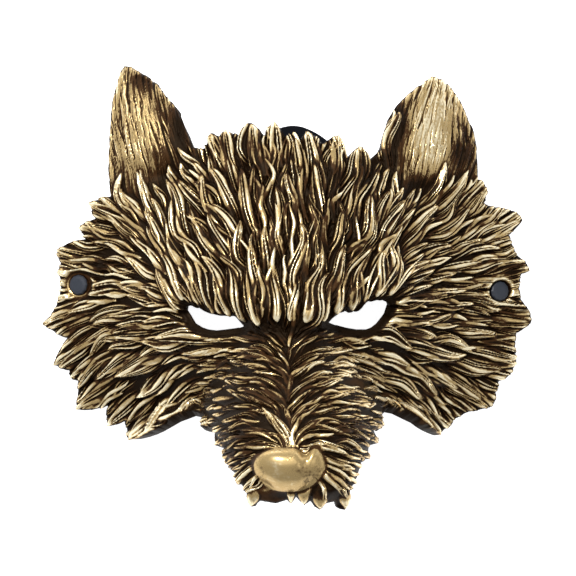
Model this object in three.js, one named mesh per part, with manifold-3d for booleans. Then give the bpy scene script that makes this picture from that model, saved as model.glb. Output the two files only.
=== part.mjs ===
// Wolf masquerade half mask: one moulded foam shell with ears, muzzle and teeth, held by an elastic
// strap on two rivets. Millimetres. The mask lies face up on z = 0: +X is the viewer's right,
// +Y runs from the fangs to the ears, +Z comes out of the face.
import * as THREE from 'three';
import { mergeVertices } from 'three/addons/utils/BufferGeometryUtils.js';
import Module from 'manifold-3d';

const wasm = await Module();
wasm.setup();

// Overall sizes
const MASK_WIDTH = 245; // across the cheek locks, tip to tip
const MASK_HEIGHT = 222; // from the fangs to the ear tips
const FACE_RISE = 61; // middle of the face over the rim
const MUZZLE_DEPTH = 108; // tip of the nose over the table
const WALL = 4; // moulded foam wall
const RIM_LEVEL = 3.1; // front of the rim locks' tips over the table
const DRAFT_APEX = 1000; // height over the table at which the drafted walls would meet

// Relief sizes
const LOCK_LENGTH = 27;
const LOCK_WIDTH = 10.5;
const LOCK_LIFT = 2.6; // lock's ridge over the skin
const LOCK_KEY = 2.2; // depth that a lock's sides reach into the skin
const LOCK_SIDE = 0.3; // height of a lock's sides as a share of its ridge
const BROW_RISE = 6;
const SOCKET_DIP = 5;
const EAR_CROWN = 7; // bulge of an ear across its width
const NOSE_WIDTH = 38;
const NOSE_HEIGHT = 23;
const NOSE_DEPTH = 20;
const NOSTRIL = 7;

// Rivets and strap
const RIVET_DIAMETER = 10;
const CAP_THICKNESS = 1.6;
const POST_DIAMETER = 4;
const WASHER_DIAMETER = 9;
const WASHER_THICKNESS = 1;
const STRAP_WIDTH = 8;
const STRAP_THICKNESS = 1;
const GAP = 0.3; // clearance between touching pieces
const RIVET_SEAT = 0.5; // depth of the flat seat under a cap
const CAP_CLEARANCE = 0.6; // round a cap in its seat
const STRAP_EASE = 0.7; // clearance of the strap under the shell and over a washer
const STRAP_MARGIN = 1.3; // how far past a washer the strap stays flat
const STRAP_FLOAT = 0.1; // clearance of the strap over the table

const HALF_WIDTH = MASK_WIDTH / 2;
const HALF_HEIGHT = MASK_HEIGHT / 2;

// Every table below holds hundredths of the half width (x), the half height (y) or the size that its
// heading names.
const across = (share) => (share / 100) * HALF_WIDTH;
const along = (share) => (share / 100) * HALF_HEIGHT;
const plan = ([x, y]) => new THREE.Vector2(across(x), along(y));

const clamp01 = (value) => Math.min(1, Math.max(0, value));
const smoothMax = (a, b, blend) => (a + b + Math.sqrt((a - b) ** 2 + blend ** 2)) / 2;

// Smooth value of one column of a table at a place along it
function between(rows, key, column, at) {
  const last = rows.length - 1;
  const step = rows[last][key] > rows[0][key] ? 1 : -1;
  let i = 0;
  while (i < last - 1 && (at - rows[i + 1][key]) * step > 0) i += 1;
  const t = clamp01((at - rows[i][key]) / (rows[i + 1][key] - rows[i][key]));
  const ease = t * t * (3 - 2 * t);
  const blend = (ease + t) / 2;
  return rows[i][column] + (rows[i + 1][column] - rows[i][column]) * blend;
}

function distanceToLine(x, y, a, b) {
  const dx = b.x - a.x;
  const dy = b.y - a.y;
  const t = clamp01(((x - a.x) * dx + (y - a.y) * dy) / (dx * dx + dy * dy));
  return Math.hypot(x - a.x - t * dx, y - a.y - t * dy);
}

// Muzzle sections from between the eyes to the lip: y and half width in hundredths of the half height
// and half width, middle of the ridge, its height and the lip's in hundredths of the muzzle's depth
const MUZZLE_SECTIONS = [
  { y: 12, half: 13, centre: 0, ridge: 20, lip: 5 },
  { y: -6, half: 15, centre: 0, ridge: 50, lip: 26 },
  { y: -25, half: 23, centre: 0, ridge: 62, lip: 22 },
  { y: -40, half: 32, centre: 1, ridge: 72, lip: 18 },
  { y: -52, half: 37, centre: 2, ridge: 81, lip: 24 },
  { y: -63, half: 35, centre: 3, ridge: 90, lip: 40 },
  { y: -74, half: 31, centre: 3, ridge: 97, lip: 54 },
  { y: -84, half: 27, centre: 3, ridge: 100, lip: 66 },
  { y: -91, half: 25, centre: 4, ridge: 95, lip: 75 },
  { y: -98, half: 22, centre: 4, ridge: 86, lip: 79 },
];
const ROUND_SIDE = 2.6; // how boxy a muzzle section is
const LIP_FALL = 60; // fall of the hair beyond the lip for a whole half width

function muzzleHeight(x, y) {
  const at = (y / HALF_HEIGHT) * 100;
  const value = (column) => between(MUZZLE_SECTIONS, 'y', column, at);
  const ridge = (value('ridge') / 100) * MUZZLE_DEPTH;
  const lip = (value('lip') / 100) * MUZZLE_DEPTH;
  const out = Math.abs(x - across(value('centre'))) / across(value('half'));
  if (out >= 1) return lip - LIP_FALL * (out - 1);
  return lip + (ridge - lip) * Math.sqrt(1 - out ** ROUND_SIDE);
}

// The face is a bell: it is deep in the middle and flattens into the collar of fur
const BELL = { x: 104.5, y: -11, up: 153, down: 86, power: 0.9 };

function faceHeight(x, y) {
  const reach = y > along(BELL.y) ? BELL.up : BELL.down;
  const rho = Math.min(1, Math.hypot(x / across(BELL.x), (y - along(BELL.y)) / along(reach)));
  return RIM_LEVEL + FACE_RISE * (0.5 + 0.5 * Math.cos(Math.PI * rho)) ** BELL.power;
}

// Brow ridges and eye sockets, as lines from the inner to the outer end
const BROWS = [
  { inner: plan([-10, -9]), outer: plan([-40, 3]) },
  { inner: plan([10, -9]), outer: plan([40, 6]) },
];
const SOCKETS = [
  { inner: plan([-20, -17]), outer: plan([-40, -12]) },
  { inner: plan([20, -16]), outer: plan([40, -10]) },
];
const BROW_SPREAD = 9;
const SOCKET_SPREAD = 8;

function ridgeSum(lines, x, y, spread) {
  const distances = lines.map(({ inner, outer }) => distanceToLine(x, y, inner, outer));
  return Math.exp(-((Math.min(...distances) / spread) ** 2));
}

function skinHeight(x, y) {
  const body = smoothMax(faceHeight(x, y), muzzleHeight(x, y), WALL * 2);
  const brow = BROW_RISE * ridgeSum(BROWS, x, y, BROW_SPREAD);
  return body + brow - SOCKET_DIP * ridgeSum(SOCKETS, x, y, SOCKET_SPREAD);
}

// A point of the skin's plan at a height, narrowed by the mould's draft
function place(x, y, z) {
  const draft = 1 - z / DRAFT_APEX;
  return new THREE.Vector3(x * draft, y * draft, z);
}

function bodyOf(points, faces) {
  const geometry = new THREE.BufferGeometry();
  const numbers = points.flatMap((p) => p.toArray());
  geometry.setAttribute('position', new THREE.Float32BufferAttribute(numbers, 3));
  geometry.setIndex(faces.flat());
  return geometry;
}

// Closed solid of a geometry, without the flat triangles that a turned form has on its axis
function solidOf(geometry) {
  const bare = geometry.clone();
  bare.deleteAttribute('normal');
  bare.deleteAttribute('uv');
  const merged = mergeVertices(bare, 1e-4);
  const corners = [];
  for (let i = 0; i < merged.index.count; i += 3) {
    const [a, b, c] = [0, 1, 2].map((k) => merged.index.getX(i + k));
    if (a !== b && b !== c && c !== a) corners.push(a, b, c);
  }
  return new wasm.Manifold(new wasm.Mesh({
    numProp: 3,
    vertProperties: new Float32Array(merged.attributes.position.array),
    triVerts: new Uint32Array(corners),
  }));
}

// The outer body alone: pockets sealed in between crossing locks are filled
function withoutPockets(solid) {
  const bodies = solid.decompose().sort((a, b) => b.volume() - a.volume());
  return bodies[0];
}

function geometryOf(solid) {
  const mesh = solid.getMesh();
  const geometry = new THREE.BufferGeometry();
  geometry.setAttribute('position', new THREE.Float32BufferAttribute(mesh.vertProperties, 3));
  geometry.setIndex(Array.from(mesh.triVerts));
  geometry.computeVertexNormals();
  return geometry;
}

// Rim of the shell's smooth body, just inside the valleys between the locks
const SHELL_RIM = [
  [90, 0], [88, -20], [84, -38], [74, -50], [58, -56], [44, -52], [37, -58], [34, -66], [31, -74],
  [28, -83], [24, -91], [16, -95], [4, -95], [-8, -95], [-15, -93], [-19, -87], [-23, -79],
  [-27, -71], [-31, -63], [-37, -56], [-45, -53], [-58, -57], [-72, -51], [-82, -38], [-87, -20],
  [-90, 0], [-88, 14], [-80, 24], [-73, 36], [-66, 45], [-50, 56], [-38, 60], [-26, 65], [-12, 68],
  [2, 68], [14, 65], [26, 58], [38, 56], [52, 56], [68, 46], [77, 36], [85, 26], [89, 14],
];
const SHELL_CENTRE = [2, -20];
const SPOKES = 60;
const FRONT_RINGS = 7;
const BACK_RINGS = 5;
const RING_CROWDING = 1.15; // how much closer the rings lie towards the rim
const SLOPE_STEP = 0.8; // half of the span over which the skin's slope is measured

function rimPoints() {
  const rim = SHELL_RIM.map(([x, y]) => new THREE.Vector3(across(x), along(y), 0));
  return new THREE.CatmullRomCurve3(rim, true).getSpacedPoints(SPOKES).slice(0, SPOKES);
}

// Points and faces of one face of the shell, spread in rings from its centre to its rim
function skinSheet(rings, pointAt, first, facesUp) {
  const centre = plan(SHELL_CENTRE);
  const points = [pointAt(centre.x, centre.y)];
  const faces = [];
  const at = (ring, spoke) => first + (ring ? 1 + (ring - 1) * SPOKES + (spoke % SPOKES) : 0);
  for (let ring = 1; ring <= rings; ring += 1) {
    const share = 1 - (1 - ring / rings) ** RING_CROWDING;
    rimPoints().forEach((edge, spoke) => {
      const spot = new THREE.Vector2().lerpVectors(centre, edge, share);
      points.push(pointAt(spot.x, spot.y));
      const [a, d] = [at(ring - 1, spoke), at(ring - 1, spoke + 1)];
      const [b, c] = [at(ring, spoke), at(ring, spoke + 1)];
      const cells = ring > 1 ? [[a, b, c], [a, c, d]] : [[a, b, c]];
      faces.push(...cells.map(([p, q, r]) => (facesUp ? [p, r, q] : [p, q, r])));
    });
  }
  return { points, faces, rim: (spoke) => at(rings, spoke) };
}

// Closed body between an upper and a lower sheet
function sheetBody(upperRings, upperPoint, lowerRings, lowerPoint) {
  const upper = skinSheet(upperRings, upperPoint, 0, true);
  const lower = skinSheet(lowerRings, lowerPoint, upper.points.length, false);
  const faces = [...upper.faces, ...lower.faces];
  for (let spoke = 0; spoke < SPOKES; spoke += 1) {
    const [a, b, c, d] = [upper.rim(spoke), upper.rim(spoke + 1), lower.rim(spoke + 1), lower.rim(spoke)];
    faces.push([a, b, c], [a, c, d]);
  }
  return bodyOf([...upper.points, ...lower.points], faces);
}

const shellBody = () => sheetBody(
  FRONT_RINGS, (x, y) => place(x, y, skinHeight(x, y)), BACK_RINGS, innerPoint);
const hollowBody = () => sheetBody(BACK_RINGS, innerPoint, 1, (x, y) => place(x, y, -WALL));

// Slope of a height over the plan, along x and along y
function slopeOf(height, x, y, step) {
  const rise = (dx, dy) => (height(x + dx, y + dy) - height(x - dx, y - dy)) / (2 * step);
  return [rise(step, 0), rise(0, step)];
}

// Point of the inner face: the skin's point moved in by the wall, along the skin's normal
function innerPoint(x, y) {
  const [slopeX, slopeY] = slopeOf(skinHeight, x, y, SLOPE_STEP);
  const normal = new THREE.Vector3(-slopeX, -slopeY, 1).normalize();
  const point = place(x, y, skinHeight(x, y)).addScaledVector(normal, -WALL);
  point.z = Math.max(0, point.z);
  return point;
}

// Closed body through rings of equal length, with a flat cap on the first and the last ring
function loft(rings) {
  const size = rings[0].length;
  const faces = [];
  rings.slice(1).forEach((_, step) => {
    for (let i = 0; i < size; i += 1) {
      const next = (i + 1) % size;
      const [a, b] = [step * size + i, step * size + next];
      faces.push([a, b, b + size], [a, b + size, a + size]);
    }
  });
  const last = (rings.length - 1) * size;
  for (let i = 1; i < size - 1; i += 1) {
    faces.push([0, i + 1, i], [last, last + i, last + i + 1]);
  }
  const points = rings.flat();
  const volume = faces.reduce((sum, [a, b, c]) => (
    sum + points[a].dot(new THREE.Vector3().crossVectors(points[b], points[c]))), 0);
  return bodyOf(points, volume > 0 ? faces : faces.map(([a, b, c]) => [a, c, b]));
}

// Sections of a lock from its root to its tip: place along it, half width in hundredths of half its
// width and ridge in hundredths of its lift
const INNER_SECTIONS = [
  { s: 0, half: 45, rise: 10 },
  { s: 0.6, half: 100, rise: 100 },
  { s: 1, half: 12, rise: 45 },
];
const RIM_SECTIONS = [
  { s: 0, half: 60, rise: 30 },
  { s: 0.5, half: 100, rise: 100 },
  { s: 0.8, half: 60, rise: 60 },
  { s: 1, half: 4, rise: 10 },
];
const CROWN_SECTIONS = [
  { s: 0, half: 60, rise: 30 },
  { s: 0.6, half: 100, rise: 100 },
  { s: 1, half: 38, rise: 10 },
];

function lock(root, tip, width, lift, sections, depthAt) {
  const course = new THREE.Vector2().subVectors(tip, root);
  const sideways = new THREE.Vector2(-course.y, course.x).normalize();
  return loft(sections.map(({ s, half, rise }) => {
    const middle = root.clone().addScaledVector(course, s);
    const reach = (width / 2) * (half / 100);
    const left = middle.clone().addScaledVector(sideways, reach);
    const right = middle.clone().addScaledVector(sideways, -reach);
    const top = lift * (rise / 100);
    const at = (p, height) => place(p.x, p.y, skinHeight(p.x, p.y) + height);
    const under = (p) => place(p.x, p.y, Math.max(0, skinHeight(p.x, p.y) - depthAt(s)));
    const side = top * LOCK_SIDE;
    return [at(left, side), at(middle, top), at(right, side), under(right), under(left)];
  }));
}

// Locks round the cheeks, over the strap's ends, on the crown and along the lip, as
// [tip x, tip y, root x, root y, width in hundredths of a lock's width]
const RIM_LOCKS = [
  [-81, 38, -64, 33, 105], [-85, 28, -68, 24, 105], [-94.5, 17, -74, 15, 120],
  [-100, -16.2, -78, -10, 130], [-92, -24, -74, -18, 95],
  [-95.5, -34.7, -77, -24, 125], [-89, -40.5, -72, -31, 95], [-86, -54.5, -70, -39, 125],
  [-74, -62, -60, -45, 125], [-65, -68.5, -52, -49, 125], [-53, -63, -43, -46, 120],
  [81, 44.6, 67, 34, 115], [95.5, 31, 75, 24, 135], [97, 12.6, 78, 11, 115],
  [99.2, -15.3, 77, -11, 135], [92.5, -24, 74, -20, 115], [93.5, -34, 74, -28, 125],
  [84, -52, 67, -39, 130], [74, -57, 59, -43, 120], [62, -66, 50, -47, 130], [50, -59, 42, -45, 105],
];
const STRAP_LOCKS = [
  [-93, 6, -76, 4, 120], [-93.5, -5, -76, -3, 110], [95, 2, 77, 1, 105],
];
const CROWN_LOCKS = [
  [-37, 64, -33, 50, 85], [-30, 70, -27, 54, 90], [-24, 70, -21, 54, 80], [-15, 73.4, -12, 55, 105],
  [-5.5, 74.8, -3, 56, 95], [3, 68, 2, 52, 90], [11, 66, 9, 51, 85], [19.5, 68.5, 16.5, 52, 90],
  [28.6, 63, 25, 48, 100], [36, 59, 34, 45, 85],
];
const LIP_LOCKS = [
  [-35.9, -62.2, -28, -55, 60], [-30.2, -70.7, -24, -63, 55], [-25.7, -78.8, -20, -72, 55],
  [39.6, -61.7, 32, -55, 60], [37.1, -69.8, 30, -63, 55], [33.1, -76.6, 26, -70, 55],
];

// Teeth along the front lip, in the same form
const TEETH = [
  [-15, -99, -14, -82, 85], [23.2, -100, 20, -82, 85], [-5, -97.3, -4, -86, 80], [1.2, -97.3, 1, -88, 40],
  [6.6, -97.8, 6, -88, 50], [13.1, -100, 12, -88, 60],
];

// Locks on the face by region: [x, y, direction of growth in degrees], with the lock's length and
// width in hundredths of the usual lock's
const FACE_LOCKS = [
  {
    name: 'brow', length: 90, width: 85,
    rows: [
      [-10, -6, 97], [-19, -3, 104], [-28, 3, 108], [-40, 5, 120], [0, -3, 90], [9, -3, 80],
      [18, -1, 66], [27, 3, 72], [37, 10, 62],
    ],
  },
  {
    name: 'forehead', length: 105, width: 95,
    rows: [
      [-3, 16, 90], [8, 16, 88], [23, 17, 64], [36, 24, 70], [-12, 16, 95], [-24, 20, 118],
      [-37, 22, 125], [-8, 34, 88], [4, 35, 92], [16, 35, 88], [29, 37, 64], [-20, 37, 112],
      [-33, 39, 130], [-45, 33, 98],
    ],
  },
  {
    name: 'temples', length: 105, width: 90,
    rows: [
      [-56, 26, 115], [-60, 37, 130], [-62, 17, 150], [-62, 4, 172], [-57, -8, 172], [-60, -22, 185],
      [51, 27, 48], [60, 33, 36], [60, 16, 12], [60, 0, 8], [59, -14, -4],
    ],
  },
  {
    name: 'cheeks', length: 100, width: 95,
    rows: [
      [-44, -27, 182], [-56, -34, 203], [-48, -44, 222], [46, -26, -15], [60, -29, -12], [50, -41, -26],
    ],
  },
  {
    name: 'muzzle', length: 66, width: 66,
    rows: [
      [-6, -27, 140], [-18, -29, 172], [-29, -38, 188], [-8, -45, 148], [-19, -49, 178],
      [7, -27, 45], [18, -29, 8], [30, -38, -14], [9, -45, 32], [20, -49, 4],
    ],
  },
];

// The cheek locks thicken to their tips, which stand on the table
const THIN = { root: 0.7, tip: 0.9 };
const STANDING = { root: 0.7, tip: 1.6 };

function rimLock([tipX, tipY, rootX, rootY, width], lift, sections, depth) {
  const depthAt = (s) => WALL * (depth.root + (depth.tip - depth.root) * s);
  const [root, tip] = [plan([rootX, rootY]), plan([tipX, tipY])];
  return lock(root, tip, (width / 100) * LOCK_WIDTH, lift, sections, depthAt);
}

function faceLock([x, y, lean], group) {
  const angle = THREE.MathUtils.degToRad(lean);
  const half = new THREE.Vector2(Math.cos(angle), Math.sin(angle)).multiplyScalar(
    (group.length / 200) * LOCK_LENGTH);
  const middle = plan([x, y]);
  const size = Math.sqrt(group.width / 100);
  return lock(middle.clone().sub(half), middle.clone().add(half), (group.width / 100) * LOCK_WIDTH,
    LOCK_LIFT * size, INNER_SECTIONS, () => LOCK_KEY);
}

// Ear sections from the root to the tip: y, left and right edge, and bulge in hundredths of the crown
const EARS = [
  [
    { y: 38, left: -67, right: -46, crown: 0 }, { y: 50, left: -73, right: -42, crown: 35 },
    { y: 62, left: -73.5, right: -39, crown: 85 }, { y: 75, left: -73, right: -42, crown: 100 },
    { y: 86, left: -71.5, right: -48, crown: 80 }, { y: 95, left: -70, right: -55.5, crown: 45 },
    { y: 100, left: -67.5, right: -65, crown: 5 },
  ],
  [
    { y: 38, left: 43, right: 68, crown: 0 }, { y: 50, left: 38, right: 77, crown: 35 },
    { y: 62, left: 37.5, right: 77, crown: 85 }, { y: 73, left: 40.5, right: 75, crown: 100 },
    { y: 83, left: 45, right: 71, crown: 80 }, { y: 91, left: 52, right: 66.5, crown: 45 },
    { y: 96, left: 58, right: 61, crown: 5 },
  ],
];
const EAR_SPREAD = [-1, -0.5, 0, 0.5, 1]; // places across an ear's front
const EAR_EDGE = 0.6; // thickness at an ear's edge as a share of the wall

function ear(rows) {
  return loft(rows.map(({ y, left, right, crown }) => {
    const middle = across((left + right) / 2);
    const reach = across((right - left) / 2);
    const point = (t, height) => {
      const x = middle + t * reach;
      const level = skinHeight(x, along(y)) + EAR_CROWN * (crown / 100) * (1 - t * t);
      return place(x, along(y), Math.max(0, level + height));
    };
    const back = (t) => point(t, -WALL * (EAR_EDGE + (1 - EAR_EDGE) * (1 - t * t)));
    return [...EAR_SPREAD.map((t) => point(t, 0)), back(1), back(0), back(-1)];
  }));
}

// Eye holes as hand-chosen points round each one
const EYES = [
  [[-41.5, -8], [-38, -7.6], [-34, -8.7], [-31, -11.4], [-27, -12.9], [-22, -13.2], [-18.4, -17.5],
    [-29, -18.9], [-35, -17.7], [-38.5, -15.2]],
  [[34.8, -5.4], [38.5, -5.5], [40.8, -7.8], [39.6, -11.4], [36.3, -15.8], [32.2, -18.4],
    [24.5, -17.8], [17.2, -15.6], [21.3, -11.4], [28, -9.4]],
];

function eyeCutter(points) {
  const outline = points.map((p) => plan(p));
  if (THREE.ShapeUtils.isClockWise(outline)) outline.reverse();
  const top = RIM_LEVEL + FACE_RISE + BROW_RISE + LOCK_LIFT * 4;
  const low = outline.map((p) => place(p.x, p.y, -WALL));
  const high = outline.map((p) => place(p.x, p.y, top));
  const size = points.length;
  const cap = THREE.ShapeUtils.triangulateShape(outline, []);
  const faces = cap.flatMap(([a, b, c]) => [[a, c, b], [a + size, b + size, c + size]]);
  for (let i = 0; i < size; i += 1) {
    const next = (i + 1) % size;
    faces.push([i, next, next + size], [i, next + size, i + size]);
  }
  return bodyOf([...low, ...high], faces);
}

// Nose pad and nostrils
const NOSE = [0.6, -82];
const NOSTRILS = [[-9, -89], [10, -89]];
const NOSE_TILT = 18; // degrees that the pad leans down to the lip

const NOSTRIL_SINK = 0.7; // depth of a nostril's middle as a share of the pad's depth

function noseBall(centre, width, height, depth, sink) {
  const { x, y } = plan(centre);
  const ball = new THREE.SphereGeometry(0.5, 12, 7);
  const spot = place(x, y, MUZZLE_DEPTH - sink);
  const level = new THREE.Vector3(1, 0, 0);
  const turn = new THREE.Quaternion().setFromAxisAngle(level, THREE.MathUtils.degToRad(NOSE_TILT));
  const size = new THREE.Vector3(width, height, depth);
  return ball.applyMatrix4(new THREE.Matrix4().compose(spot, turn, size));
}

// Frame of a rivet: its centre on the skin and the skin's own direction there
const RIVETS = [
  { side: 'left', spot: [-85.4, 1.4] },
  { side: 'right', spot: [86.3, -1.4] },
];

function rivetFrame(spot) {
  const { x, y } = plan(spot);
  const [slopeX, slopeY] = slopeOf(faceHeight, x, y, RIVET_DIAMETER / 2);
  const normal = new THREE.Vector3(-slopeX, -slopeY, 1).normalize();
  const level = new THREE.Vector3(1, 0, slopeX).normalize();
  const third = new THREE.Vector3().crossVectors(level, normal);
  return new THREE.Matrix4().makeBasis(level, normal, third).setPosition(place(x, y, faceHeight(x, y)));
}

// A turned piece on a rivet's axis from radius and height pairs; height 0 is the skin
const TURNED_SIDES = 12;

function turned(profile, spot) {
  const shape = profile.map(([radius, height]) => new THREE.Vector2(radius, height));
  return new THREE.LatheGeometry(shape, TURNED_SIDES).applyMatrix4(rivetFrame(spot));
}

function drum(radius, low, high, spot) {
  return turned([[0, low], [radius, low], [radius, high], [0, high]], spot);
}

// Heights on a rivet's axis, from the cap down to the washer
const FRONT_SEAT = -RIVET_SEAT;
const BACK_SEAT = -WALL;
const STRAP_LEVEL = BACK_SEAT - STRAP_EASE - STRAP_THICKNESS / 2;
const WASHER_TOP = STRAP_LEVEL - STRAP_THICKNESS / 2 - STRAP_EASE;
const POST_END = WASHER_TOP - WASHER_THICKNESS;
const CLEAR = WALL * 4; // reach of the cutters past the wall

// A cap's rounded edge, in hundredths of its radius and its thickness
const CAP_EDGE = [[100, 0], [100, 50], [88, 88], [60, 100], [0, 100]];

function rivetCap(spot) {
  const post = POST_DIAMETER / 2;
  const base = FRONT_SEAT + GAP;
  const radius = RIVET_DIAMETER / 2;
  const edge = CAP_EDGE.map(([out, up]) => [(out / 100) * radius, base + (up / 100) * CAP_THICKNESS]);
  return turned([[0, POST_END], [post, POST_END], [post, base], ...edge], spot);
}

function washer(spot) {
  const [bore, radius] = [POST_DIAMETER / 2 + GAP, WASHER_DIAMETER / 2];
  const outer = [[radius, POST_END], [radius, WASHER_TOP]];
  return turned([[bore, POST_END], ...outer, [bore, WASHER_TOP], [bore, POST_END]], spot);
}

function maskShell() {
  let solid = solidOf(shellBody());
  const join = (geometry) => { solid = solid.add(solidOf(geometry)); };
  EARS.forEach((rows) => join(ear(rows)));
  RIM_LOCKS.forEach((row) => join(rimLock(row, LOCK_LIFT, RIM_SECTIONS, STANDING)));
  STRAP_LOCKS.forEach((row) => join(rimLock(row, LOCK_LIFT, RIM_SECTIONS, THIN)));
  CROWN_LOCKS.forEach((row) => join(rimLock(row, LOCK_LIFT, CROWN_SECTIONS, THIN)));
  LIP_LOCKS.forEach((row) => join(rimLock(row, LOCK_LIFT / 2, RIM_SECTIONS, THIN)));
  TEETH.forEach((row) => join(rimLock(row, LOCK_LIFT / 2, RIM_SECTIONS, THIN)));
  FACE_LOCKS.forEach((group) => group.rows.forEach((row) => join(faceLock(row, group))));
  const nose = solidOf(noseBall(NOSE, NOSE_WIDTH, NOSE_HEIGHT, NOSE_DEPTH, NOSE_DEPTH / 2));
  solid = solid.add(nose.subtract(solidOf(hollowBody())));
  NOSTRILS.forEach((spot) => {
    solid = solid.subtract(solidOf(noseBall(spot, NOSTRIL, NOSTRIL, NOSTRIL, NOSE_DEPTH * NOSTRIL_SINK)));
  });
  EYES.forEach((points) => { solid = solid.subtract(solidOf(eyeCutter(points))); });
  RIVETS.forEach(({ spot }) => {
    const seat = RIVET_DIAMETER / 2 + CAP_CLEARANCE;
    solid = solid.subtract(solidOf(drum(seat, FRONT_SEAT, CLEAR, spot)));
    solid = solid.subtract(solidOf(drum(seat, -CLEAR, BACK_SEAT, spot)));
    solid = solid.subtract(solidOf(drum(POST_DIAMETER / 2 + GAP, -CLEAR, CLEAR, spot)));
  });
  return geometryOf(withoutPockets(solid));
}

// Elastic strap: chosen points [x, y, rise] of its middle line between the rivets, with the rise over
// the table in hundredths of the height at which it leaves a rivet's flat
const STRAP_TABLE_LEVEL = STRAP_THICKNESS / 2 + STRAP_FLOAT;
const STRAP_ROUTE = [
  [-76.7, 3.1, 104], [-71.8, 5.9, 52], [-65.3, 9.9, 10], [-58, 16.2, 0], [-47.3, 26.6, 0],
  [-35.9, 37.8, 0], [-24.5, 50, 0], [-14.7, 59.9, 0], [-6.5, 66.7, 0], [2.4, 69.5, 0], [10.6, 66.2, 0],
  [18.8, 58.6, 0], [28.6, 48.2, 0], [39.2, 36, 0], [49.8, 24.3, 0], [59.6, 14, 0], [66.9, 7.2, 10],
  [72.7, 2.7, 56], [77.6, 0.5, 109],
];
const STRAP_TAIL = [{ away: 8.2, lift: 0.5 }, { away: 11.5, lift: 0.2 }]; // ends beyond a rivet
const STRAP_TAIL_FALL = 0.25; // slope of the ends towards the chin
const STRAP_FLAT = WASHER_DIAMETER / 2 + STRAP_MARGIN; // from a rivet's axis
const STRAP_STEPS = 46;
const STRAP_CHAMFER = 0.6; // as a share of half the strap's thickness

// A course whose width stays level along its whole length
class LevelCourse extends THREE.CatmullRomCurve3 {
  computeFrenetFrames(segments) {
    const steps = Array.from({ length: segments + 1 }, (_, i) => i / segments);
    const tangents = steps.map((u) => this.getTangentAt(u));
    const binormals = tangents.map((t) => new THREE.Vector3(-t.y, t.x, 0).normalize());
    const normals = tangents.map((t, i) => new THREE.Vector3().crossVectors(binormals[i], t));
    return { tangents, normals, binormals };
  }
}

function strapCourse() {
  const onAxis = ({ spot }, away) => (
    new THREE.Vector3(away, STRAP_LEVEL, 0).applyMatrix4(rivetFrame(spot)));
  const [leftTop, rightTop] = [onAxis(RIVETS[0], STRAP_FLAT).z, onAxis(RIVETS[1], -STRAP_FLAT).z];
  const middle = STRAP_ROUTE.map(([x, y, rise]) => {
    const top = (x < 0 ? leftTop : rightTop) - STRAP_TABLE_LEVEL;
    return new THREE.Vector3(across(x), along(y), STRAP_TABLE_LEVEL + top * (rise / 100));
  });
  const ends = RIVETS.map((rivet) => {
    const centre = onAxis(rivet, 0);
    const outward = Math.sign(centre.x);
    const flat = [STRAP_FLAT, 0, -STRAP_FLAT].map((away) => onAxis(rivet, away * outward));
    const tail = STRAP_TAIL.map(({ away, lift }) => new THREE.Vector3(
      centre.x + outward * away, centre.y - away * STRAP_TAIL_FALL, STRAP_TABLE_LEVEL + lift));
    return [...tail.reverse(), ...flat];
  });
  return new LevelCourse([...ends[0], ...middle, ...ends[1].reverse()], false, 'centripetal');
}

function elasticStrap() {
  const [thick, wide] = [STRAP_THICKNESS / 2, STRAP_WIDTH / 2];
  const chamfer = thick * STRAP_CHAMFER;
  const corners = [[-1, -1], [1, -1], [1, 1], [-1, 1]].flatMap(([x, y]) => {
    const onEnd = new THREE.Vector2(x * thick, y * (wide - chamfer));
    const onFace = new THREE.Vector2(x * (thick - chamfer), y * wide);
    return x * y > 0 ? [onEnd, onFace] : [onFace, onEnd];
  });
  const section = new THREE.Shape(corners);
  const sweep = { steps: STRAP_STEPS, bevelEnabled: false, extrudePath: strapCourse() };
  const band = new THREE.ExtrudeGeometry(section, sweep);
  let solid = solidOf(band);
  RIVETS.forEach(({ spot }) => {
    solid = solid.subtract(solidOf(drum(POST_DIAMETER / 2 + GAP, -CLEAR, CLEAR, spot)));
  });
  return geometryOf(solid);
}

const FOAM_GOLD = new THREE.MeshStandardMaterial({ color: 0xa8874a, roughness: 0.42, metalness: 0.35 });
const SLATE_PLASTIC = new THREE.MeshStandardMaterial({ color: 0x373a41, roughness: 0.45, metalness: 0 });
const BLACK_ELASTIC = new THREE.MeshStandardMaterial({ color: 0x15161c, roughness: 0.9, metalness: 0 });

const mask = new THREE.Group();
mask.name = 'wolf_mask';
const hard = new THREE.Box3();

function addPiece(name, geometry, material) {
  const piece = new THREE.Mesh(geometry, material.clone());
  piece.name = name;
  mask.add(piece);
  return new THREE.Box3().setFromObject(piece);
}

hard.union(addPiece('mask_shell', maskShell(), FOAM_GOLD));
RIVETS.forEach(({ side, spot }) => {
  hard.union(addPiece(`rivet_cap_${side}`, rivetCap(spot), SLATE_PLASTIC));
  hard.union(addPiece(`rivet_washer_${side}`, washer(spot), SLATE_PLASTIC));
});
addPiece('elastic_strap', elasticStrap(), BLACK_ELASTIC);

// The origin is under the middle of the mask without its strap, on the table
const middle = hard.getCenter(new THREE.Vector3());
mask.position.set(-middle.x, -middle.y, -hard.min.z);

export default mask;
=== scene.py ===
"""Wolf masquerade half mask in gilded moulded foam, lying face up with its elastic strap under it.

The shell is one moulded skin. Its form is worked out as a surface over the mask's plan, the locks of fur
are raised on it one by one, and the skin is then parted into ears, forehead, cheeks and muzzle.
"""
import logging
import math
from dataclasses import dataclass, field
from enum import Enum, IntEnum

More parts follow.
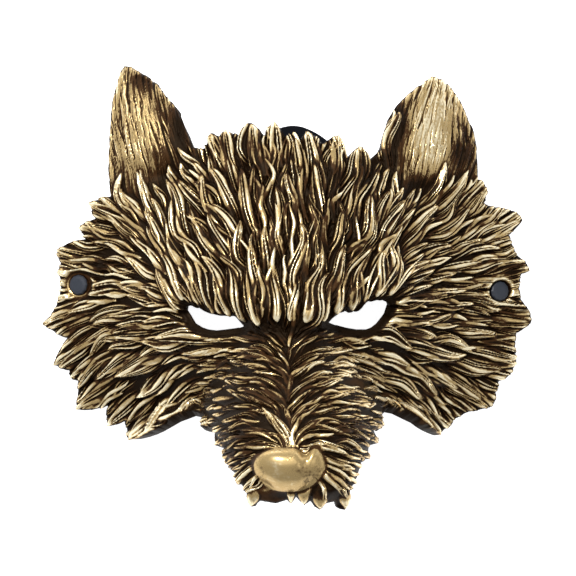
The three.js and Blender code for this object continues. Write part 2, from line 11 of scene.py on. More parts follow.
import bpy
import numpy as np
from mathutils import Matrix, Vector


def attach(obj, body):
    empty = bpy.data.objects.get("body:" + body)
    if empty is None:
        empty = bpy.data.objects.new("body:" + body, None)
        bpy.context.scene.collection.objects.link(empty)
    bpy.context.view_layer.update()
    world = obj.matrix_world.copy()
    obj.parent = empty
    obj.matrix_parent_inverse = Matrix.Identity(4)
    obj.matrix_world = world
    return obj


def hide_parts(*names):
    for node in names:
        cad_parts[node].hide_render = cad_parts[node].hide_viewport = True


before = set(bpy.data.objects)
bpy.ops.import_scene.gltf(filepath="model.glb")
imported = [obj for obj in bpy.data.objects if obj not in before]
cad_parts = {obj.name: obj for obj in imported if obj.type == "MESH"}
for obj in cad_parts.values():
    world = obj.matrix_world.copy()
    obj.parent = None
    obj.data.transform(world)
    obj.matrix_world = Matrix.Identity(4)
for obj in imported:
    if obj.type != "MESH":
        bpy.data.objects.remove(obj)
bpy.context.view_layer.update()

MM = 0.001  # metres in a millimetre
SEED = 20  # of every random draw
ORIGIN = (0.50, -4.74)  # mm from the middle of the plan to the frame's origin

log = logging.getLogger("wolf_mask")
Array = np.ndarray


def linear(code: str) -> tuple[float, float, float, float]:
    """Turns an sRGB hex value into a linear colour.

    Args:
        code: six hex digits, red, green and blue.

    Returns:
        Linear red, green, blue and an alpha of one.
    """
    parts = [int(code[i:i + 2], 16) / 255 for i in (0, 2, 4)]
    bent = [c / 12.92 if c <= 0.04045 else ((c + 0.055) / 1.055) ** 2.4 for c in parts]
    return (bent[0], bent[1], bent[2], 1.0)


def add_node(tree: bpy.types.NodeTree, kind: str, inputs: dict | None = None, **settings) -> bpy.types.Node:
    """Adds a node with its settings and links.

    Args:
        tree: node tree that takes the node.
        kind: node type.
        inputs: values or output sockets, by input name or number.
        settings: the node's own properties.

    Returns:
        The new node.
    """
    node = tree.nodes.new(kind)
    for name, value in settings.items():
        setattr(node, name, value)
    for name, value in (inputs or {}).items():
        if isinstance(value, bpy.types.NodeSocket):
            tree.links.new(value, node.inputs[name])
        else:
            node.inputs[name].default_value = value
    return node


def new_material(name: str) -> tuple[bpy.types.Material, bpy.types.NodeTree]:
    """Makes an empty node material.

    Args:
        name: the material's name.

    Returns:
        The material and its tree.
    """
    material = bpy.data.materials.new(name)
    material.use_nodes = True
    material.node_tree.nodes.clear()
    return material, material.node_tree


def smooth(value: Array, low: float, high: float) -> Array:
    """Rises smoothly from 0 at low to 1 at high."""
    t = np.clip((value - low) / (high - low), 0, 1)
    return t * t * (3 - 2 * t)


def smooth_max(a: Array, b: Array, blend: float) -> Array:
    """Larger of two heights, rounded where they meet over the blend's width."""
    return (a + b + np.sqrt((a - b) ** 2 + blend ** 2)) / 2


def mound(x: Array, y: Array, middle: tuple[float, float], reach: tuple[float, float]) -> Array:
    """Soft round mound, 1 at its middle and falling off over its reach across and along."""
    return np.exp(-((x - middle[0]) / reach[0]) ** 2 - ((y - middle[1]) / reach[1]) ** 2)


def between(places: Array, column: Array, at: Array) -> Array:
    """Smooth value of a table's column at places along it.

    Args:
        places: falling or rising places of the rows.
        column: the rows' values.
        at: where the values are wanted.

    Returns:
        The values, one for each place wanted.
    """
    order = np.argsort(places)
    keys, values = places[order], column[order]
    i = np.clip(np.searchsorted(keys, at) - 1, 0, len(keys) - 2)
    t = np.clip((at - keys[i]) / (keys[i + 1] - keys[i]), 0, 1)
    blend = (t * t * (3 - 2 * t) + t) / 2
    return values[i] + (values[i + 1] - values[i]) * blend


def line_distance(x: Array, y: Array, a: tuple[float, float], b: tuple[float, float]) -> Array:
    """Distance in plan from points to a straight line.

    Args:
        x: the points' x.
        y: the points' y.
        a: where the line starts.
        b: where it ends.

    Returns:
        The distances.
    """
    dx, dy = b[0] - a[0], b[1] - a[1]
    t = np.clip(((x - a[0]) * dx + (y - a[1]) * dy) / (dx * dx + dy * dy), 0, 1)
    return np.hypot(x - a[0] - t * dx, y - a[1] - t * dy)


def signed_distance(x: Array, y: Array, loop: Array) -> Array:
    """Distance from points to a closed outline, positive inside it.

    Args:
        x: the points' x.
        y: the points' y.
        loop: the outline's corners in order, one row each.

    Returns:
        The signed distances.
    """
    best = np.full(x.shape, 1e9)
    inside = np.zeros(x.shape, bool)
    for (ax, ay), (bx, by) in zip(loop, np.roll(loop, -1, axis=0)):
        np.minimum(best, line_distance(x, y, (ax, ay), (bx, by)), out=best)
        if ay != by:
            inside ^= ((ay > y) != (by > y)) & (x < (bx - ax) * (y - ay) / (by - ay) + ax)
    return np.where(inside, best, -best)


def blur(values: Array, cells: int) -> Array:
    """Softens a grid of values with three box blurs.

    Args:
        values: the grid.
        cells: half width of each blur.

    Returns:
        The softened grid.
    """
    span = 2 * cells + 1
    for axis in (0, 1) * 3:
        pad = [(cells + 1, cells) if k == axis else (0, 0) for k in (0, 1)]
        total = np.cumsum(np.pad(values, pad, mode="edge"), axis=axis)
        size = total.shape[axis]
        values = (np.take(total, range(span, size), axis) - np.take(total, range(size - span), axis)) / span
    return values


class Turn(Enum):
    """What an outline's corner is."""

    TIP = "tip of a lock"
    NOTCH = "valley between two locks"
    BEND = "plain corner"


T, N, B = Turn.TIP, Turn.NOTCH, Turn.BEND

# Outline of the mask from the left ear over the crown, clockwise, in millimetres of the plan
OUTLINE = (
    (B, -89, 46), (B, -90, 60), (B, -89.5, 76), (B, -88.2, 92.5), (B, -84.5, 107), (B, -82, 111),
    (B, -79, 111), (B, -69.5, 105.5), (B, -65, 102), (B, -54, 88), (N, -47.5, 70.5),
    (N, -42, 69), (T, -38, 77), (N, -34, 75), (T, -31, 78.7), (N, -24.5, 76), (T, -18, 82), (N, -12, 76.5),
    (T, -7, 83), (N, -1.5, 74.5), (T, 3.5, 76.5), (N, 6.2, 74), (T, 9.5, 78), (N, 17.5, 71.5), (T, 25, 76),
    (N, 30, 66), (T, 35, 70), (N, 41.5, 65),
    (B, 45.5, 68.5), (B, 50.5, 85), (B, 55.5, 93), (B, 64, 100.5), (B, 72, 106), (B, 74.5, 106),
    (B, 80.5, 102), (B, 86, 94), (B, 92.5, 80), (B, 94.5, 70), (B, 95, 54.5),
    (T, 99.5, 49.5), (N, 97.5, 42), (B, 113.5, 38.5), (T, 117, 34), (N, 110, 26.5), (B, 113, 18),
    (B, 118.5, 13.5), (T, 120.5, 8.5), (N, 116, 7), (B, 115, -0.5), (B, 117, -6.5), (B, 120, -10.5),
    (T, 121.5, -17), (N, 113.5, -22.5), (B, 113, -29.5), (T, 114.5, -38), (N, 105.5, -47), (B, 103, -56.5),
    (T, 101, -59), (B, 91, -61), (N, 82.5, -65), (T, 76, -73.5), (B, 64, -66), (B, 54, -60.5),
    (N, 50, -59.5), (N, 47, -63), (T, 48.5, -68.5), (N, 43.5, -71), (T, 45.5, -77.5), (N, 41, -77.5),
    (T, 40.5, -85), (N, 38, -85.5), (B, 35.5, -94.5), (B, 31.5, -102), (B, 31.5, -107.5),
    (T, 28.5, -111), (B, 25.5, -110),
    (N, 23, -107.5), (N, 18.5, -108.5), (T, 16, -111), (N, 11, -107), (T, 8, -108.5), (N, 4, -105),
    (T, 1.5, -108), (N, -0.5, -106.5), (B, -6, -108), (B, -14, -107), (T, -18.5, -109.5), (N, -20.5, -102.5),
    (B, -25.5, -97), (N, -29.5, -88.5), (T, -31.5, -87.5), (N, -33, -79), (T, -37, -78.5), (N, -37, -70),
    (T, -44, -69), (N, -42, -62.5), (N, -48, -61.5), (B, -56, -65), (B, -65, -71), (T, -79.5, -76),
    (N, -81, -66), (T, -90.5, -69), (N, -90, -59), (T, -105.5, -60.5), (N, -104, -46), (T, -109, -45),
    (N, -109, -41), (T, -117, -38.5), (N, -110, -25), (T, -122.5, -18), (B, -118.5, -14), (N, -115, -6),
    (B, -113.5, 2.5), (B, -115, 7), (B, -113.5, 12.5), (T, -116, 19), (N, -101.5, 24.5), (T, -104, 31),
    (N, -96, 34.5), (T, -99.5, 42.5),
)

# Corners of the two eye holes, from the upper left
EYES = (
    ((-50, -8.5), (-47, -8.5), (-41.7, -9.5), (-39.8, -10.5), (-38, -12.6), (-34, -14.3), (-27, -14.5),
     (-22.5, -19.4), (-25, -20), (-36, -21), (-40, -20.5), (-43, -19.5), (-46.5, -17.4), (-50.5, -11.5)),
    ((42.5, -6), (47.2, -6), (49.5, -7), (50, -8.5), (48.6, -12.5), (44.5, -17.4), (41.8, -19.5),
     (39.5, -20.4), (35, -20.5), (30, -19.8), (24, -18.6), (21, -17.5), (26, -12.5), (31.5, -11.8),
     (34.5, -10.3), (39, -7)),
)

LIP_LEVEL = -98  # no fur grows below it

# Middle of each rivet and how far the fur stays off it
RIVETS = ((-104.6, 1.55, 8.5), (105.7, -1.55, 6.4))


@dataclass
class ShellForm:
    """Smooth form of the moulded shell under its fur, as heights over the plan in millimetres.

    Lengths in the tables are hundredths of half the width, half the height or the muzzle's depth.
    """

    width: float = 245
    height: float = 222
    face_rise: float = 61
    face_middle: float = -11  # level of the bell's middle
    face_reach: tuple = (104.5, 153, 86)  # its reach to the sides, upwards and downwards
    face_flare: float = 0.9  # power that fills out its flanks
    muzzle_depth: float = 108
    wall: float = 4
    rim_level: float = 3.1
    draft_apex: float = 1000  # height at which the mould's draft would close
    ear_crown: float = 7  # bulge of an ear at its fullest section
    brow_rise: float = 6
    socket_dip: float = 5
    lip_fall: float = 60  # how steeply the muzzle's sides fall away
    round_side: float = 2.6
    # y, half width, middle, ridge and lip of each muzzle section
    muzzle: tuple = (
        (12, 13, 0, 20, 5), (-6, 15, 0, 50, 26), (-25, 23, 0, 62, 22), (-40, 32, 1, 72, 18),
        (-52, 37, 2, 81, 24), (-63, 35, 3, 90, 40), (-74, 31, 3, 97, 54), (-84, 27, 3, 100, 66),
        (-91, 25, 4, 95, 75), (-98, 22, 4, 86, 79),
    )
    # y, left edge, right edge and bulge of each ear section
    ears: tuple = (
        ((38, -67, -46, 0), (50, -73, -42, 35), (62, -73.5, -39, 85), (75, -73, -42, 100),
         (86, -71.5, -48, 80), (95, -70, -55.5, 45), (100, -67.5, -65, 5)),
        ((38, 43, 68, 0), (50, 38, 77, 35), (62, 37.5, 77, 85), (73, 40.5, 75, 100),
         (83, 45, 71, 80), (91, 52, 66.5, 45), (96, 58, 61, 5)),
    )
    # inner end, outer end and spread of each brow and socket
    brows: tuple = (((-10, -9), (-40, 3), 9.0), ((10, -9), (40, 6), 9.0))
    sockets: tuple = (((-20, -17), (-40, -12), 8.0), ((20, -16), (40, -10), 8.0))
    # middle, reach across, reach along and depth of the hollows at the ears' roots, in millimetres
    hollows: tuple = ((-61, 55, 9, 7, 4.5), (67, 48, 8, 7, 4.5))
    nose: tuple = (0.75, -91.0, 19.3, 11.6)  # middle of the nose pad and its reach across and along
    nose_rise: float = 11.5
    nose_sink: float = 4.8  # depth of the valley round the pad
    nose_square: float = 2.7  # power that squares the pad's outline

    def across(self, share: float) -> float:
        """Millimetres of a share of half the width."""
        return share / 100 * self.width / 2

    def along(self, share: float) -> float:
        """Millimetres of a share of half the height."""
        return share / 100 * self.height / 2

    def face(self, x: Array, y: Array) -> Array:
        """Height of the bell that the face rises in.

        Args:
            x: x of places in the plan.
            y: their y.

        Returns:
            The heights.
        """
        sideways, up, down = self.face_reach
        middle = self.along(self.face_middle)
        reach = np.where(y > middle, self.along(up), self.along(down))
        rho = np.minimum(1, np.hypot(x / self.across(sideways), (y - middle) / reach))
        return self.rim_level + self.face_rise * (0.5 + 0.5 * np.cos(math.pi * rho)) ** self.face_flare

    def snout(self, x: Array, y: Array) -> Array:
        """Height of the muzzle, which falls away beyond its lips.

        Args:
            x: x of places in the plan.
            y: their y.

        Returns:
            The heights.
        """
        rows = np.array(self.muzzle, float)
        at = y / (self.height / 2) * 100
        half, centre, ridge, lip = (between(rows[:, 0], rows[:, k], at) for k in (1, 2, 3, 4))
        ridge, lip = ridge / 100 * self.muzzle_depth, lip / 100 * self.muzzle_depth
        out = np.abs(x - self.across(1) * centre) / (self.across(1) * half)
        arch = np.sqrt(np.maximum(0, 1 - np.minimum(out, 1) ** self.round_side))
        return np.where(out < 1, lip + (ridge - lip) * arch, lip - self.lip_fall * (out - 1))

    def skin(self, x: Array, y: Array) -> Array:
        """Height of the shell's skin without ears, nose pad and fur.

        Args:
            x: x of places in the plan.
            y: their y.

        Returns:
            The heights.
        """
        body = smooth_max(self.face(x, y), self.snout(x, y), self.wall * 2)
        for lines, rise in ((self.brows, self.brow_rise), (self.sockets, -self.socket_dip)):
            falls = []
            for inner, outer, spread in lines:
                ends = [(self.across(p[0]), self.along(p[1])) for p in (inner, outer)]
                falls.append(np.exp(-(line_distance(x, y, *ends) / spread) ** 2))
            body = body + rise * np.maximum(*falls)
        return body

    def ear_bulge(self, x: Array, y: Array) -> Array:
        """Rise of the two ears over the skin.

        Args:
            x: x of places in the plan.
            y: their y.

        Returns:
            The rises.
        """
        at = y / (self.height / 2) * 100
        total = np.zeros_like(x)
        for rows in self.ears:
            table = np.array(rows, float)
            left, right, crown = (between(table[:, 0], table[:, k], at) for k in (1, 2, 3))
            middle, reach = self.across(1) * (left + right) / 2, self.across(1) * (right - left) / 2
            t = (x - middle) / reach
            here = (np.abs(t) < 1) & (at > rows[0][0])
            total += np.where(here, self.ear_crown * crown / 100 * (1 - t * t), 0)
        for cx, cy, rx, ry, depth in self.hollows:
            total -= depth * mound(x, y, (cx, cy), (rx, ry))
        return total

    def nose_field(self, x: Array, y: Array) -> Array:
        """Place in the nose pad's outline, 0 in its middle and 1 on its edge.

        Args:
            x: x of places in the plan.
            y: their y.

        Returns:
            The places.
        """
        cx, cy, rx, ry = self.nose
        dx, dy = (x - cx) / rx, (y - cy) / ry
        # the pad narrows to the lip, and its upper edge is notched where the lobes meet
        narrow = 1 + 0.42 * smooth(-dy, -0.2, 1.1)
        notch = 1 + 0.34 * np.exp(-((x - 8.2) / 2.6) ** 2) * smooth(dy, 0.1, 0.9)
        notch -= 0.2 * np.exp(-((x - 15) / 4) ** 2) * smooth(dy, 0, 0.8)
        power = self.nose_square
        return (np.abs(dx * narrow) ** power + np.abs(dy * notch) ** power) ** (1 / power)

    def nose_pad(self, x: Array, y: Array) -> Array:
        """Height of the nose pad, two lobes that lean down to the lip.

        Args:
            x: x of places in the plan.
            y: their y.

        Returns:
            The heights.
        """
        cx, cy, rx, ry = self.nose
        rho = self.nose_field(x, y)
        dx, dy = (x - cx) / rx, (y - cy) / ry
        # a low dome with a groove between its lobes and two nostrils, placed as in the photo
        dome = np.maximum(0, 1 - np.minimum(rho, 1) ** 2.0) ** 0.6
        groove = np.exp(-((x - 8.6) / 2.2) ** 2) * (0.25 + 0.75 * smooth(dy, -0.5, 0.8))
        nostrils = (np.exp(-np.hypot(x + 11, y + 99.5) ** 2 / 9)
                    + np.exp(-np.hypot(x - 12, y + 98.5) ** 2 / 10))
        base = self.muzzle_depth - self.nose_rise + 0.2 + 3.2 * dy
        shape = self.nose_rise * dome * (1 - 0.04 * dx) - 1.7 * groove - 2.4 * nostrils
        return base + shape - 30 * np.maximum(0, rho - 1)

    def surface(self, x: Array, y: Array) -> Array:
        """Height of the whole front without its fur.

        Args:
            x: x of places in the plan.
            y: their y.

        Returns:
            The heights.
        """
        body = self.skin(x, y) + self.ear_bulge(x, y)
        under = 0.45 + 0.55 * smooth(self.nose[1] - y, -9, 3)
        body -= self.nose_sink * under * (1 - smooth(self.nose_field(x, y), 1.0, 1.75))
        return smooth_max(body, self.nose_pad(x, y), 0.5)

    def place(self, x: Array, y: Array, z: Array) -> Array:
        """Points of the plan at their heights, narrowed by the mould's draft."""
        draft = 1 - z / self.draft_apex
        return np.stack([x * draft, y * draft, z], axis=-1)


class Coat(Enum):
    """Kinds of fur on the mask."""

    FOREHEAD = "long waving locks"
    TEMPLE = "narrow strands behind the eyes"
    CHEEK = "broad pointed locks"
    MUZZLE = "short arcs"
    EAR = "fine strands"
    TOOTH = "smooth teeth"


@dataclass(frozen=True)
class LockStyle:
    """Sizes of one kind of lock, in millimetres."""

    length: float
    width: float
    lift: float
    strand: float  # width of one strand in a lock
    groove: float  # depth of the grooves between strands
    spacing: float  # between neighbouring locks' roots
    wave: float  # sideways sway as radians of turn
    point: float = 0.85  # how pointed the tip is
    stray: float = 0.8  # single strands for each lock


# Fitted to the photo, kind by kind
STYLES = {
    Coat.FOREHEAD: LockStyle(35, 7.6, 3.3, 2.3, 2.1, 9.2, 0.5, 0.5, 0.4),
    Coat.TEMPLE: LockStyle(29, 5.8, 2.5, 1.9, 1.7, 7.1, 0.32, 0.7, 0.45),
    Coat.CHEEK: LockStyle(31, 8.0, 3.0, 2.3, 1.9, 8.9, 0.34, 0.8, 0.45),
    Coat.MUZZLE: LockStyle(22, 3.5, 1.7, 1.6, 1.3, 5.4, 0.36, 0.75, 0.5),
    Coat.EAR: LockStyle(26, 2.8, 0.8, 1.35, 0.9, 3.9, 0.14, 0.85, 0.6),
    Coat.TOOTH: LockStyle(11, 5.0, 1.5, 9.0, 0.0, 9.0, 0.0, 1.0, 0.0),
}

# Growth of the fur from root to tip: x and y in millimetres of the plan, and degrees from the right
GUIDES = {
    Coat.FOREHEAD: (
        (-12, -8, 97), (-24, -4, 104), (-36, 2, 108), (-50, 3, 120), (0, -4, 90), (11, -4, 80), (22, -2, 66),
        (33, 1, 72), (44, 8, 62), (-4, 14, 90), (7, 16, 86), (17, 16, 100), (28, 18, 62), (40, 22, 68),
        (52, 18, 75), (-15, 14, 95), (-26, 16, 115), (-37, 20, 125), (-48, 20, 125), (-60, 16, 118),
        (-10, 34, 85), (2, 34, 92), (13, 36, 105), (24, 36, 75), (36, 40, 64), (47, 38, 70), (-20, 36, 103),
        (-31, 38, 125), (-43, 42, 135), (-55, 38, 98), (-5, 54, 95), (6, 54, 92), (17, 54, 88), (29, 50, 52),
        (41, 52, 88), (-16, 56, 104), (-27, 58, 112), (-40, 58, 125), (-52, 56, 130), (-5, 65, 95),
        (5, 70, 100), (15, 60, 90), (23, 70, 85), (-38, 72, 115), (-30, 73, 105), (-18, 76, 98), (-7, 77, 92),
        (36, 64, 80),
    ),
    Coat.TEMPLE: (
        (-66, 28, 115), (-66, 42, 112), (-76, 40, 135), (-80, 28, 148), (-76, 14, 150), (-92, 30, 165),
        (-100, 22, 170), (-92, 16, 175), (-80, 4, 172), (-70, -4, 160), (-92, -2, 180), (-68, -14, 180),
        (-84, -12, 188), (-100, -14, 205), (-66, -24, 178), (-82, -26, 195), (-98, -28, 218),
        (60, 30, 50), (62, 16, 42), (74, 36, 35), (76, 20, 8), (72, 6, 15), (84, 40, 52), (94, 28, 35),
        (100, 35, 30), (92, 14, 12), (105, 20, 15), (86, 4, 2), (66, -6, 5), (80, -10, -2), (96, -10, -8),
        (64, -18, -4), (80, -22, -5), (98, -24, -8), (110, -15, -5),
    ),
    Coat.CHEEK: (
        (-105, -35, 225), (-52, -28, 180), (-60, -38, 200), (-74, -38, 205), (-88, -40, 215), (-50, -48, 222),
        (-62, -52, 225), (-76, -52, 220), (-88, -54, 218), (-80, -62, 225), (-100, -50, 215),
        (54, -28, -15), (68, -32, -15), (84, -36, -10), (98, -38, -8), (54, -42, -22), (66, -46, -30),
        (80, -48, -28), (92, -50, -25), (62, -58, -38), (74, -60, -38),
    ),
    Coat.MUZZLE: (
        (-6, -28, 140), (-20, -30, 172), (-36, -33, 186), (-7, -42, 150), (-20, -42, 176), (-34, -46, 188),
        (-8, -56, 148), (-20, -57, 172), (-33, -58, 188), (-3, -64, 130), (-18, -70, 170), (-30, -70, 195),
        (-27, -84, 200), (-22, -98, 225), (-6, -104, 262), (6, -28, 45), (20, -28, 8), (36, -32, -12),
        (8, -42, 30), (22, -42, 4), (38, -42, -15), (47, -43, -25), (8, -56, 35), (22, -56, 6),
        (36, -56, -10), (5, -62, 45), (20, -70, 4), (34, -72, -12), (32, -86, -15), (27, -98, -40),
        (12, -104, -80),
    ),
    Coat.EAR: (
        (-80, 54, 96), (-62, 60, 100), (-76, 75, 100), (-62, 78, 105), (-56, 70, 110), (-80, 95, 92),
        (-70, 96, 100), (-78, 106, 85), (56, 60, 84), (70, 58, 76), (84, 60, 72), (60, 78, 76), (74, 78, 80),
        (84, 76, 92), (66, 94, 72), (78, 94, 84),
    ),
}

# Broad locks over the eyes: their round lower ends and widths
BROW_LOCKS = (
    (-51, -4.5, 8.0), (-44.5, -5.5, 5.5), (-36, -11, 9.0), (-27.5, -13, 6.0), (-20.5, -17, 7.5),
    (-13, -17.5, 7.0), (-6, -16, 6.0), (1.5, -16.5, 6.5), (8.5, -16, 6.0), (15.5, -15.5, 7.0),
    (23, -11.5, 7.5), (30.5, -9.5, 6.5), (36.5, -6.5, 5.5), (42, -3, 6.0), (49, -2, 6.5), (54, -6, 5.0),
)


class Growth:
    """Field of the fur's direction and kind over the plan."""

    def __init__(self) -> None:
        """Gathers the guides into arrays."""
        table = np.array([
            (x, y, math.radians(degrees), number)
            for number, coat in enumerate(GUIDES)
            for x, y, degrees in GUIDES[coat]])
        self.spots = table[:, :2]
        self.ways = np.stack([np.cos(table[:, 2]), np.sin(table[:, 2])], axis=1)
        self.coats = table[:, 3].astype(int)

    def gaps(self, points: Array) -> Array:
        """Distances from points of the plan to every guide."""
        return np.hypot(points[:, None, 0] - self.spots[:, 0], points[:, None, 1] - self.spots[:, 1])

    def way(self, points: Array) -> Array:
        """Unit directions of growth at points of the plan."""
        mean = (1 / (self.gaps(points) + 1.5) ** 4) @ self.ways
        return mean / np.maximum(1e-9, np.linalg.norm(mean, axis=1, keepdims=True))

    def coat(self, points: Array) -> Array:
        """Number of the kind of fur at points, that of the nearest guide."""
        return self.coats[np.argmin(self.gaps(points), axis=1)]


@dataclass
class Lock:
    """One lock of fur: its middle line in plan and its sizes."""

    line: Array
    width: float
    lift: float  # of its crest over its level
    strands: int = 1
    groove: float = 0.0
    point: float = 0.6
    blunt_root: bool = False
    level: float = 0.0  # height over the skin that it starts from


@dataclass
class Grid:
    """Points of the front, row by row up the mask and evenly along its surface from side to side."""

    form: ShellForm
    rows: int = 620
    columns: int = 740
    reach_x: float = 124.0
    reach_y: float = 113.0
    steepness: float = 0.8  # how much a slope draws the columns to it
    x: Array = field(init=False)
    y: Array = field(init=False)
    clear: Array = field(init=False)
    eye_gap: Array = field(init=False)
    on_edge: Array = field(init=False)

    def __post_init__(self) -> None:
        """Spreads the points and finds how far each lies inside the outline."""
        probe = np.linspace(-self.reach_x, self.reach_x, 400)
        levels = np.linspace(-self.reach_y, self.reach_y, self.rows)
        slope = np.gradient(self.form.skin(*np.meshgrid(probe, levels)), probe, axis=1)
        pace = blur(np.sqrt(1 + (self.steepness * np.clip(slope, -9, 9)) ** 2), 3)
        run = np.cumsum(pace, axis=1)
        run = (run - run[:, :1]) / (run[:, -1:] - run[:, :1])
        share = np.linspace(0, 1, self.columns)
        self.x = np.stack([np.interp(share, run[i], probe) for i in range(self.rows)])
        self.y = np.repeat(levels[:, None], self.columns, axis=1)
        self.eye_gap = self.eye_clearance(self.x, self.y)
        self.clear = self.clearance(self.x, self.y)
        self.snap()

    def clearance(self, x: Array, y: Array) -> Array:
        """Distance inside the outline and outside the eye holes, negative where there is no shell."""
        return np.minimum(self.eye_clearance(x, y), signed_distance(x, y, rounded_outline()))

    @staticmethod
    def eye_clearance(x: Array, y: Array) -> Array:
        """Distance outside the eye holes, negative in them."""
        return np.minimum(*(-signed_distance(x, y, np.array(eye, float)) for eye in EYES))

    def snap(self) -> None:
        """Moves the points next to an edge of the shell onto it."""
        best = np.full(self.clear.shape, 9.0)
        move = np.zeros(self.clear.shape + (2,))
        for dr, dc in ((0, 1), (0, -1), (1, 0), (-1, 0), (1, 1), (-1, -1)):
            there = [np.roll(v, (-dr, -dc), axis=(0, 1)) for v in (self.clear, self.x, self.y)]
            crossing = self.clear * there[0] < 0
            share = np.where(crossing, self.clear / (self.clear - there[0] + 1e-12), 9.0)
            closer = (share <= 0.5) & (share < best)
            best = np.where(closer, share, best)
            for k, (now, then) in enumerate(((self.x, there[1]), (self.y, there[2]))):
                move[..., k] = np.where(closer, share * (then - now), move[..., k])
        self.on_edge = best < 1  # points that were moved
        self.x = self.x + move[..., 0]
        self.y = self.y + move[..., 1]


def rounded_outline(bulge: float = 0.05) -> Array:
    """Outline with its long edges bowed out a little, as locks are.

    Args:
        bulge: rise of an edge's middle as a share of its length.

    Returns:
        The outline's corners.
    """
    corners = [np.array((x, y), float) for _, x, y in OUTLINE]
    loop = []
    for i, (turn, _, _) in enumerate(OUTLINE):
        a, b = corners[i], corners[(i + 1) % len(corners)]
        loop.append(a)
        other = OUTLINE[(i + 1) % len(corners)][0]
        if turn != other and Turn.TIP in (turn, other):
            span = b - a
            outward = np.array((-span[1], span[0])) * bulge
            loop += [a + span * s + outward * 4 * s * (1 - s) for s in (0.25, 0.5, 0.75)]
    return np.array(loop)


class Fur:
    """Relief of all the locks, raised on the shell's surface."""

    jitter: float = 0.4  # how far roots stray from even rows, as a share of the spacing
    size_spread: float = 0.3  # how much locks differ in size
    slim_spread: float = 0.2  # and in width alone
    steps: int = 15  # points in a lock's line
    rivet_seat: float = 0.5  # depth of the flat seat under a rivet's cap
    edge_round: float = 1.4  # reach of the rounding along every edge
    edge_fall: float = 0.9  # and its depth

    def __init__(self, form: ShellForm, grid: Grid) -> None:
        """Sets the smooth surface ready and grows the locks on it.

        Args:
            form: the shell's form.
            grid: points of the front.
        """
        self.form, self.grid, self.growth = form, grid, Growth()
        self.random = np.random.default_rng(SEED)
        self.base = form.place(grid.x, grid.y, form.surface(grid.x, grid.y))
        self.normal = self.normals(self.base)
        shape = grid.x.shape
        self.height = np.zeros(shape)
        self.flow = np.zeros(shape + (3,))
        self.bare = self.bare_places()
        locks = self.face_locks() + self.brow_locks() + self.rim_locks()
        for number, lock in enumerate(locks):
            self.raise_lock(lock, number)
        log.info("fur: %d locks and strands", len(locks))
        self.finish()

    @staticmethod
    def normals(points: Array) -> Array:
        """Outward directions of a grid of points."""
        n = np.cross(np.gradient(points, axis=1), np.gradient(points, axis=0))
        return n / np.maximum(1e-9, np.linalg.norm(n, axis=-1, keepdims=True))

    def bare_places(self) -> Array:
        """Share of fur at each point: none on the nose pad, in the eye sockets and round the rivets.

        Returns:
            The shares.
        """
        x, y = self.grid.x, self.grid.y
        share = smooth(self.form.nose_field(x, y), 0.93, 1.02)
        for cx, cy, reach in RIVETS:
            share = share * smooth(np.hypot(x - cx, y - cy), 0.7 * reach, reach)
        # bare skin under the eyes, while the fur over them thins only a little
        below = smooth(-13.0 - y + 0.12 * np.abs(x), 2, 6)
        return share * (1 - (1 - smooth(self.grid.eye_gap, 2.0, 5.5)) * (0.15 + 0.85 * below))

    def on_surface(self, points: Array) -> Array:
        """Points of the smooth surface over places of the plan."""
        x, y = points[..., 0], points[..., 1]
        return self.form.place(x, y, self.form.surface(x, y))

    def trace(self, roots: Array, lengths: Array, bends: Array, back: float) -> Array:
        """Middle lines of locks in plan, following the growth.

        Args:
            roots: a place on each lock.
            lengths: the locks' true lengths over the surface.
            bends: radians that each line turns away and back, and radians that it bows.
            back: share of a lock that lies before its place.

        Returns:
            Each line's points in plan from root to tip.
        """
        spans = self.steps - 1
        before = round(back * spans)
        lines = np.repeat(roots[:, None, :], self.steps, axis=1)
        for sign, count in ((-1, before), (1, spans - before)):
            here = roots.copy()
            for k in range(1, count + 1):
                way = self.growth.way(here)
                share = (before + sign * k) / spans
                lean = bends[:, 0] * math.sin(2 * math.pi * share) + bends[:, 1] * (2 * share - 1)
                c, s = np.cos(lean), np.sin(lean)
                turn = sign * np.stack([way[:, 0] * c - way[:, 1] * s, way[:, 0] * s + way[:, 1] * c], axis=1)
                ahead = np.linalg.norm(self.on_surface(here + turn) - self.on_surface(here), axis=1)
                here = here + turn * (lengths / spans / np.maximum(1.0, ahead))[:, None]
                lines[:, before + sign * k] = here
        return lines

    def face_locks(self) -> list[Lock]:
        """Locks and single strands spread over the whole front.

        Returns:
            The locks.
        """
        locks = []
        for number, coat in enumerate(GUIDES):
            style, pace = STYLES[coat], STYLES[coat].spacing
            x, y = np.meshgrid(np.arange(-124, 125, pace), np.arange(-113, 114, pace * 0.9))
            x[1::2] += pace / 2
            spots = np.stack([x.ravel(), y.ravel()], axis=1)
            spots += self.random.uniform(-self.jitter, self.jitter, spots.shape) * pace
            luck = self.random.uniform(-1, 1, (len(spots), 4))
            held = (self.growth.coat(spots) == number) & self.holds_fur(spots)
            spots, luck = spots[held], luck[held]
            size = 1 + self.size_spread * luck[:, 0]
            lines = self.trace(spots, style.length * size, style.wave * luck[:, 1:3], 0.5)
            for line, k, slim in zip(lines, size, luck[:, 3]):
                width = style.width * k * (1 + self.slim_spread * slim)
                strands = max(2, round(width / style.strand / (1 - 0.22 * slim)))
                locks.append(Lock(line, width, style.lift * k, strands, style.groove, style.point))
            loose = np.abs(luck[:, 2]) < style.stray
            starts = spots[loose] + luck[loose][:, :2] * pace * 0.7
            lengths = style.length * (0.7 + 0.2 * luck[loose][:, 3])
            thick = style.strand * (1.15 + 0.35 * luck[loose][:, 0])
            lines = self.trace(starts, lengths, style.wave * luck[loose][:, :2], 0.5)
            for line, width in zip(lines, thick):
                locks.append(Lock(line, width, style.lift * 0.5, level=style.lift * 0.5))
        return locks

